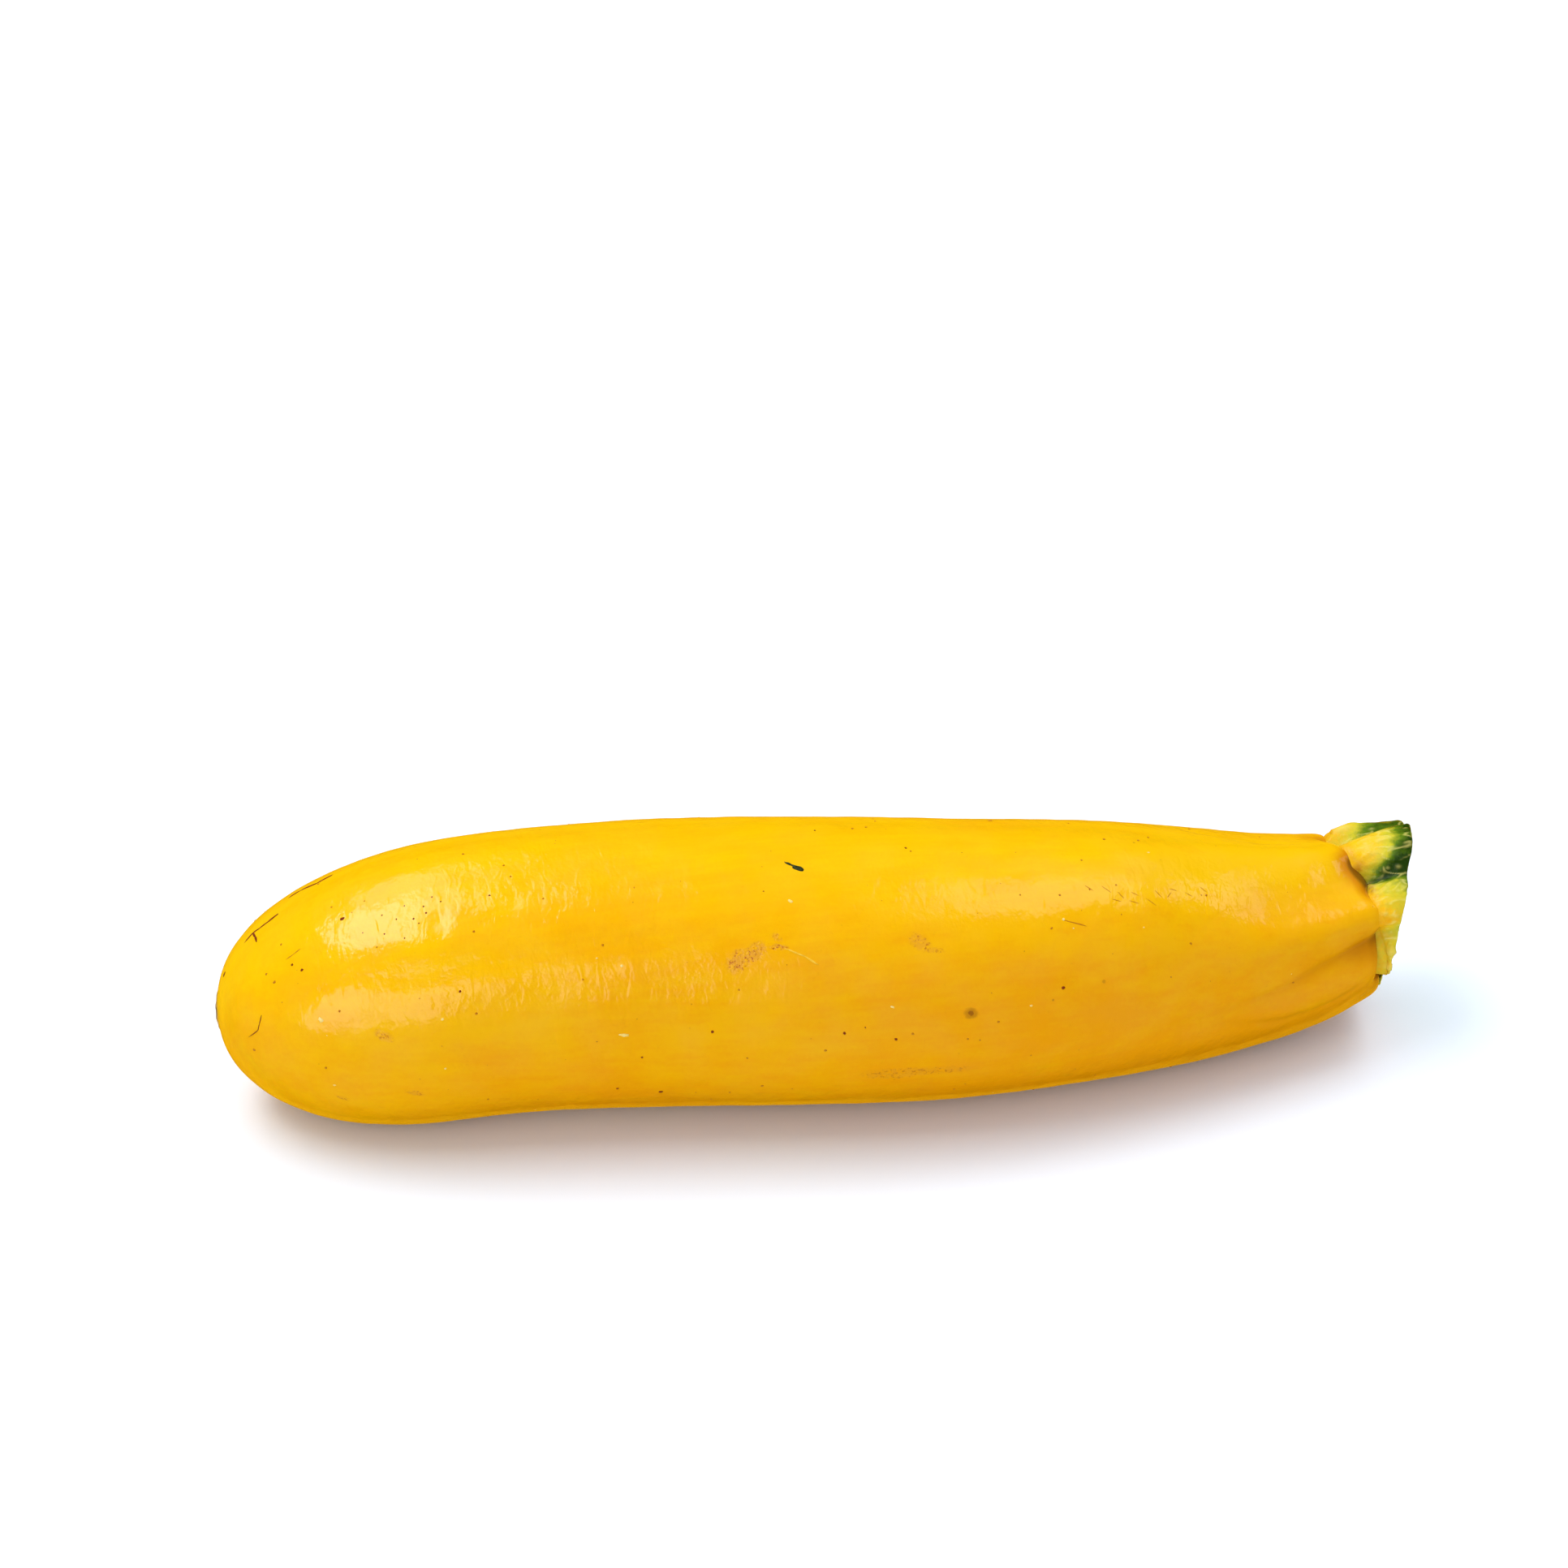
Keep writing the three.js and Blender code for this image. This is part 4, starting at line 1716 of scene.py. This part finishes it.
    def cut_face(self, rim: Array, angle: Array) -> tuple[Array, dict[str, Array]]:
        """The knife cut: slightly sunken flesh with a ring of veins and a soft star in the middle.

        Args:
            rim: the last ring of the side.
            angle: angles round the stem.

        Returns:
            The rings from the rim inwards, and their layers.
        """
        middle = rim.mean(axis=0)
        # Rings lie closer where the face leaves the rim.
        share = np.concatenate((np.linspace(0.015, 0.10, 8), np.linspace(0.12, 0.97, 34)))[:, None]
        points = rim[None] + (middle - rim[None]) * share[..., None]
        yaw, pitch = math.radians(self.cut.yaw), math.radians(self.cut.pitch)
        normal = Vector((1.0, math.tan(yaw), math.tan(pitch))).normalized()
        radial = 1.0 - share
        turn = np.radians(angle[None])
        vein = bell(radial, 0.045, 0.74) * smoothstep(np.cos(turn * self.vein_count), 0.2, 0.9)
        star = bell(radial, 0.20 + 0.10 * np.cos(turn * self.vein_count / 2))
        dish = -0.45 * smoothstep(share, 0.02, 0.14) - 0.35 * star
        dish = dish + 0.14 * vein + 0.10 * clouds(points, 1.6, 8.8)
        points = points + dish[..., None] * np.array(normal)
        cut = smoothstep(share, 0.01, 0.06) * np.ones_like(vein)
        return points, {"cut": cut, "vein": np.clip(0.8 * vein + 0.5 * star, 0.0, 1.0)}


# --- Studio -----------------------------------------------------------------------------------------------


@dataclass(frozen=True)
class Softbox:
    """A soft light: its place and size in metres, its brightness, its tilt up from facing the floor, its
    heading, whether it lights the scene, whether the wax mirrors it, over which share of its size it fades
    towards each edge, and its colour."""

    name: str
    place: Triple
    width: float
    depth: float
    radiance: float
    tilt: float = 0.0
    heading: float = 0.0
    lights: bool = True
    mirrored: bool = True
    soft: float = 0.0
    colour: Colour = (1.0, 1.0, 1.0)

    def hang(self) -> None:
        """Hangs the light."""
        lamp = bpy.data.lights.new(self.name, "AREA")
        lamp.shape = "RECTANGLE"
        lamp.size = self.width
        lamp.size_y = self.depth
        lamp.energy = self.radiance * math.pi * self.width * self.depth
        lamp.color = self.colour
        light = bpy.data.objects.new(self.name, lamp)
        light.location = self.place
        light.rotation_euler = (math.radians(self.tilt), 0.0, math.radians(self.heading))
        light.visible_camera = False
        light.visible_diffuse = self.lights
        light.visible_glossy = self.mirrored
        bpy.context.collection.objects.link(light)
        if self.soft > 0:
            self.feather(lamp)

    def feather(self, lamp: bpy.types.Light) -> None:
        """Lets the light fade towards its edges.

        Args:
            lamp: the light's data.
        """
        lamp.use_nodes = True
        nodes, links = lamp.node_tree.nodes, lamp.node_tree.links
        parts = nodes.new("ShaderNodeSeparateXYZ")
        links.new(nodes.new("ShaderNodeNewGeometry").outputs["Parametric"], parts.inputs[0])
        both = nodes.new("ShaderNodeMath")
        both.operation = "MULTIPLY"
        for axis in (0, 1):
            inwards = nodes.new("ShaderNodeMath")
            inwards.operation = "PINGPONG"
            inwards.inputs[1].default_value = 0.5
            links.new(parts.outputs[axis], inwards.inputs[0])
            fade = nodes.new("ShaderNodeMapRange")
            fade.interpolation_type = "SMOOTHSTEP"
            fade.inputs["From Max"].default_value = self.soft
            links.new(inwards.outputs[0], fade.inputs["Value"])
            links.new(fade.outputs["Result"], both.inputs[axis])
        links.new(both.outputs[0], nodes["Emission"].inputs["Strength"])


@dataclass(frozen=True)
class Studio:
    """A white floor, soft light from above and in front, and the camera."""

    floor_size: float = 8.0
    sky: float = 0.54
    azimuth: float = -9.0
    elevation: float = 31.0
    distance: float = 0.7875
    lens: float = 96.38
    aim: Triple = (0.0070, 0.0932, -0.0003)
    # The floor's and the sky's tints keep the shadow from turning yellow beside the fruit.
    floor_colour: Colour = (0.91, 0.96, 1.0)
    floor_glow: float = 0.026
    glow_colour: Colour = (0.5, 0.90, 1.0)
    sky_colour: Colour = (0.93, 1.02, 1.22)
    softboxes: tuple[Softbox, ...] = (
        Softbox("key", (-0.605, 0.07, 1.0), 0.51, 0.86, 4.3, soft=0.07),
        Softbox("key_side", (-0.275, 0.13, 1.0), 0.21, 0.50, 2.2, soft=0.12),
        Softbox("key_edge", (-0.41, 0.72, 1.0), 0.54, 0.80, 1.5, soft=0.16),
        Softbox("key_fill", (-0.42, 0.46, 0.95), 0.68, 0.80, 1.3, mirrored=False),
        Softbox("right", (0.505, -0.13, 1.0), 0.55, 0.62, 1.34, soft=0.18),
        Softbox("right_strip", (1.27, 0.13, 1.0), 0.34, 0.36, 1.6, lights=False, soft=0.10),
        Softbox("front", (-0.42, -0.95, 0.46), 0.46, 0.88, 1.7, 90.0, lights=False, soft=0.20),
        Softbox("front_left", (-0.80, -0.735, 0.44), 0.52, 0.90, 1.9, 90.0, -48.0, soft=0.10),
        Softbox("fill_right", (0.66, 0.41, 1.0), 0.80, 0.74, 2.00, mirrored=False),
        Softbox("fill_front", (0.35, -0.95, 0.40), 0.90, 0.60, 0.68, 90.0, mirrored=False),
        Softbox("end_fill", (0.20, 0.08, 0.28), 0.12, 0.12, 2.4, mirrored=False),
        # A yellow card behind the fruit, mirrored along its upper edge.
        Softbox(
            "warm_card", (0.14, 0.90, -0.50), 2.40, 1.40, 0.7, 121.0, 180.0,
            lights=False, colour=(1.0, 0.52, 0.01),
        ),
    )

    def build(self) -> None:
        """Lays the floor, hangs the lights and sets the camera."""
        self.lay_floor()
        for softbox in self.softboxes:
            softbox.hang()
        self.open_sky()
        self.set_camera()
        bpy.context.scene.view_settings.view_transform = "Standard"

    def lay_floor(self) -> None:
        """Lays the pale floor."""
        half = self.floor_size / 2
        mesh = bpy.data.meshes.new("floor")
        corners = [(-half, -half, 0), (half, -half, 0), (half, half, 0), (-half, half, 0)]
        mesh.from_pydata(corners, [], [(0, 1, 2, 3)])
        floor = bpy.data.objects.new("floor", mesh)
        bpy.context.collection.objects.link(floor)
        mesh.materials.append(NodeBench("white_floor").finish({
            "Base Color": (*self.floor_colour, 1.0),
            "Roughness": 0.9,
            "Emission Color": (*self.glow_colour, 1.0),
            "Emission Strength": self.floor_glow,
        }))
        floor.visible_glossy = False

    def open_sky(self) -> None:
        """Fills the room with even cool light, which the wax doesn't mirror."""
        world = bpy.data.worlds.new("room")
        bpy.context.scene.world = world
        world.use_nodes = True
        background = world.node_tree.nodes["Background"]
        background.inputs["Color"].default_value = (*self.sky_colour, 1.0)
        background.inputs["Strength"].default_value = self.sky
        world.cycles_visibility.glossy = False

    def set_camera(self) -> None:
        """Sets the camera, which looks down on the object from the front."""
        low, high = CAD_BOX
        turn, rise = math.radians(self.azimuth), math.radians(self.elevation)
        back = Vector((math.sin(turn) * math.cos(rise), -math.cos(turn) * math.cos(rise), math.sin(rise)))
        right = Vector((math.cos(turn), math.sin(turn), 0.0))
        centre = Vector(((low.x + high.x) / 2, (low.y + high.y) / 2, low.z))
        lens = bpy.data.cameras.new("camera")
        lens.lens = self.lens
        lens.sensor_width = 36.0
        lens.clip_start = 0.01
        camera = bpy.data.objects.new("camera", lens)
        camera.matrix_world = Matrix((right, back.cross(right), back)).transposed().to_4x4()
        camera.location = centre + Vector(self.aim) + back * self.distance
        bpy.context.collection.objects.link(camera)
        bpy.context.scene.camera = camera


# --- Assembly ---------------------------------------------------------------------------------------------


def growth_shift(fruit: Fruit) -> Array:
    """How far the part's frame is from the growth frame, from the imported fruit's box.

    Args:
        fruit: the fruit.

    Returns:
        The shift in millimetres.
    """
    # The same places as the solid's corners, so that both have the same widest point.
    sides, steps = 48, 24
    rows = np.linspace(fruit.nose_length, fruit.seat.x, steps + 1)
    plain = fruit.ring(*np.meshgrid(rows, np.arange(sides) * 360.0 / sides, indexing="ij"))
    low = np.array(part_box("fruit")[0]) / MM
    tip = fruit.nose_depth(np.array(fruit.scar_radius / fruit.curve.stations[0].radius))
    return np.array((low[0] - tip, low[1] - plain[..., 1].min(), low[2] - fruit.belly_flat))


def finish_piece(piece: bpy.types.Object, slot: str, node: str | None = None) -> None:
    """Puts a piece in its place in the object.

    Args:
        piece: the piece.
        slot: the record's material slot.
        node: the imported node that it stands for, if any.
    """
    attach(piece, "root")
    if node is not None:
        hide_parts(node)
    LOG.info("%s: %d faces, slot %s, stands for %s", piece.name, len(piece.data.polygons), slot, node)


def main() -> None:
    """Builds the studio, the fruit and the stem."""
    logging.basicConfig(level=logging.INFO, format="%(name)s: %(message)s")
    Studio().build()
    shift = growth_shift(FRUIT)
    LOG.info("growth frame shifted by %s mm", np.round(shift, 3))

    skin = WaxySkin()
    marks = speck_marks() + pale_marks() + broad_marks() + crack_marks()
    fruit_skin, ground = FRUIT.build(shift, marks, skin)
    finish_piece(fruit_skin, "skin", "fruit")
    for specks in SPECK_SETS:
        finish_piece(specks.build(ground, marks), "skin")
    stem_stub = Stem().build(FRUIT, shift, StemRind(), skin)
    finish_piece(stem_stub, "stem_rind", "stem")

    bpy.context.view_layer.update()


if __name__ == "__main__":
    main()
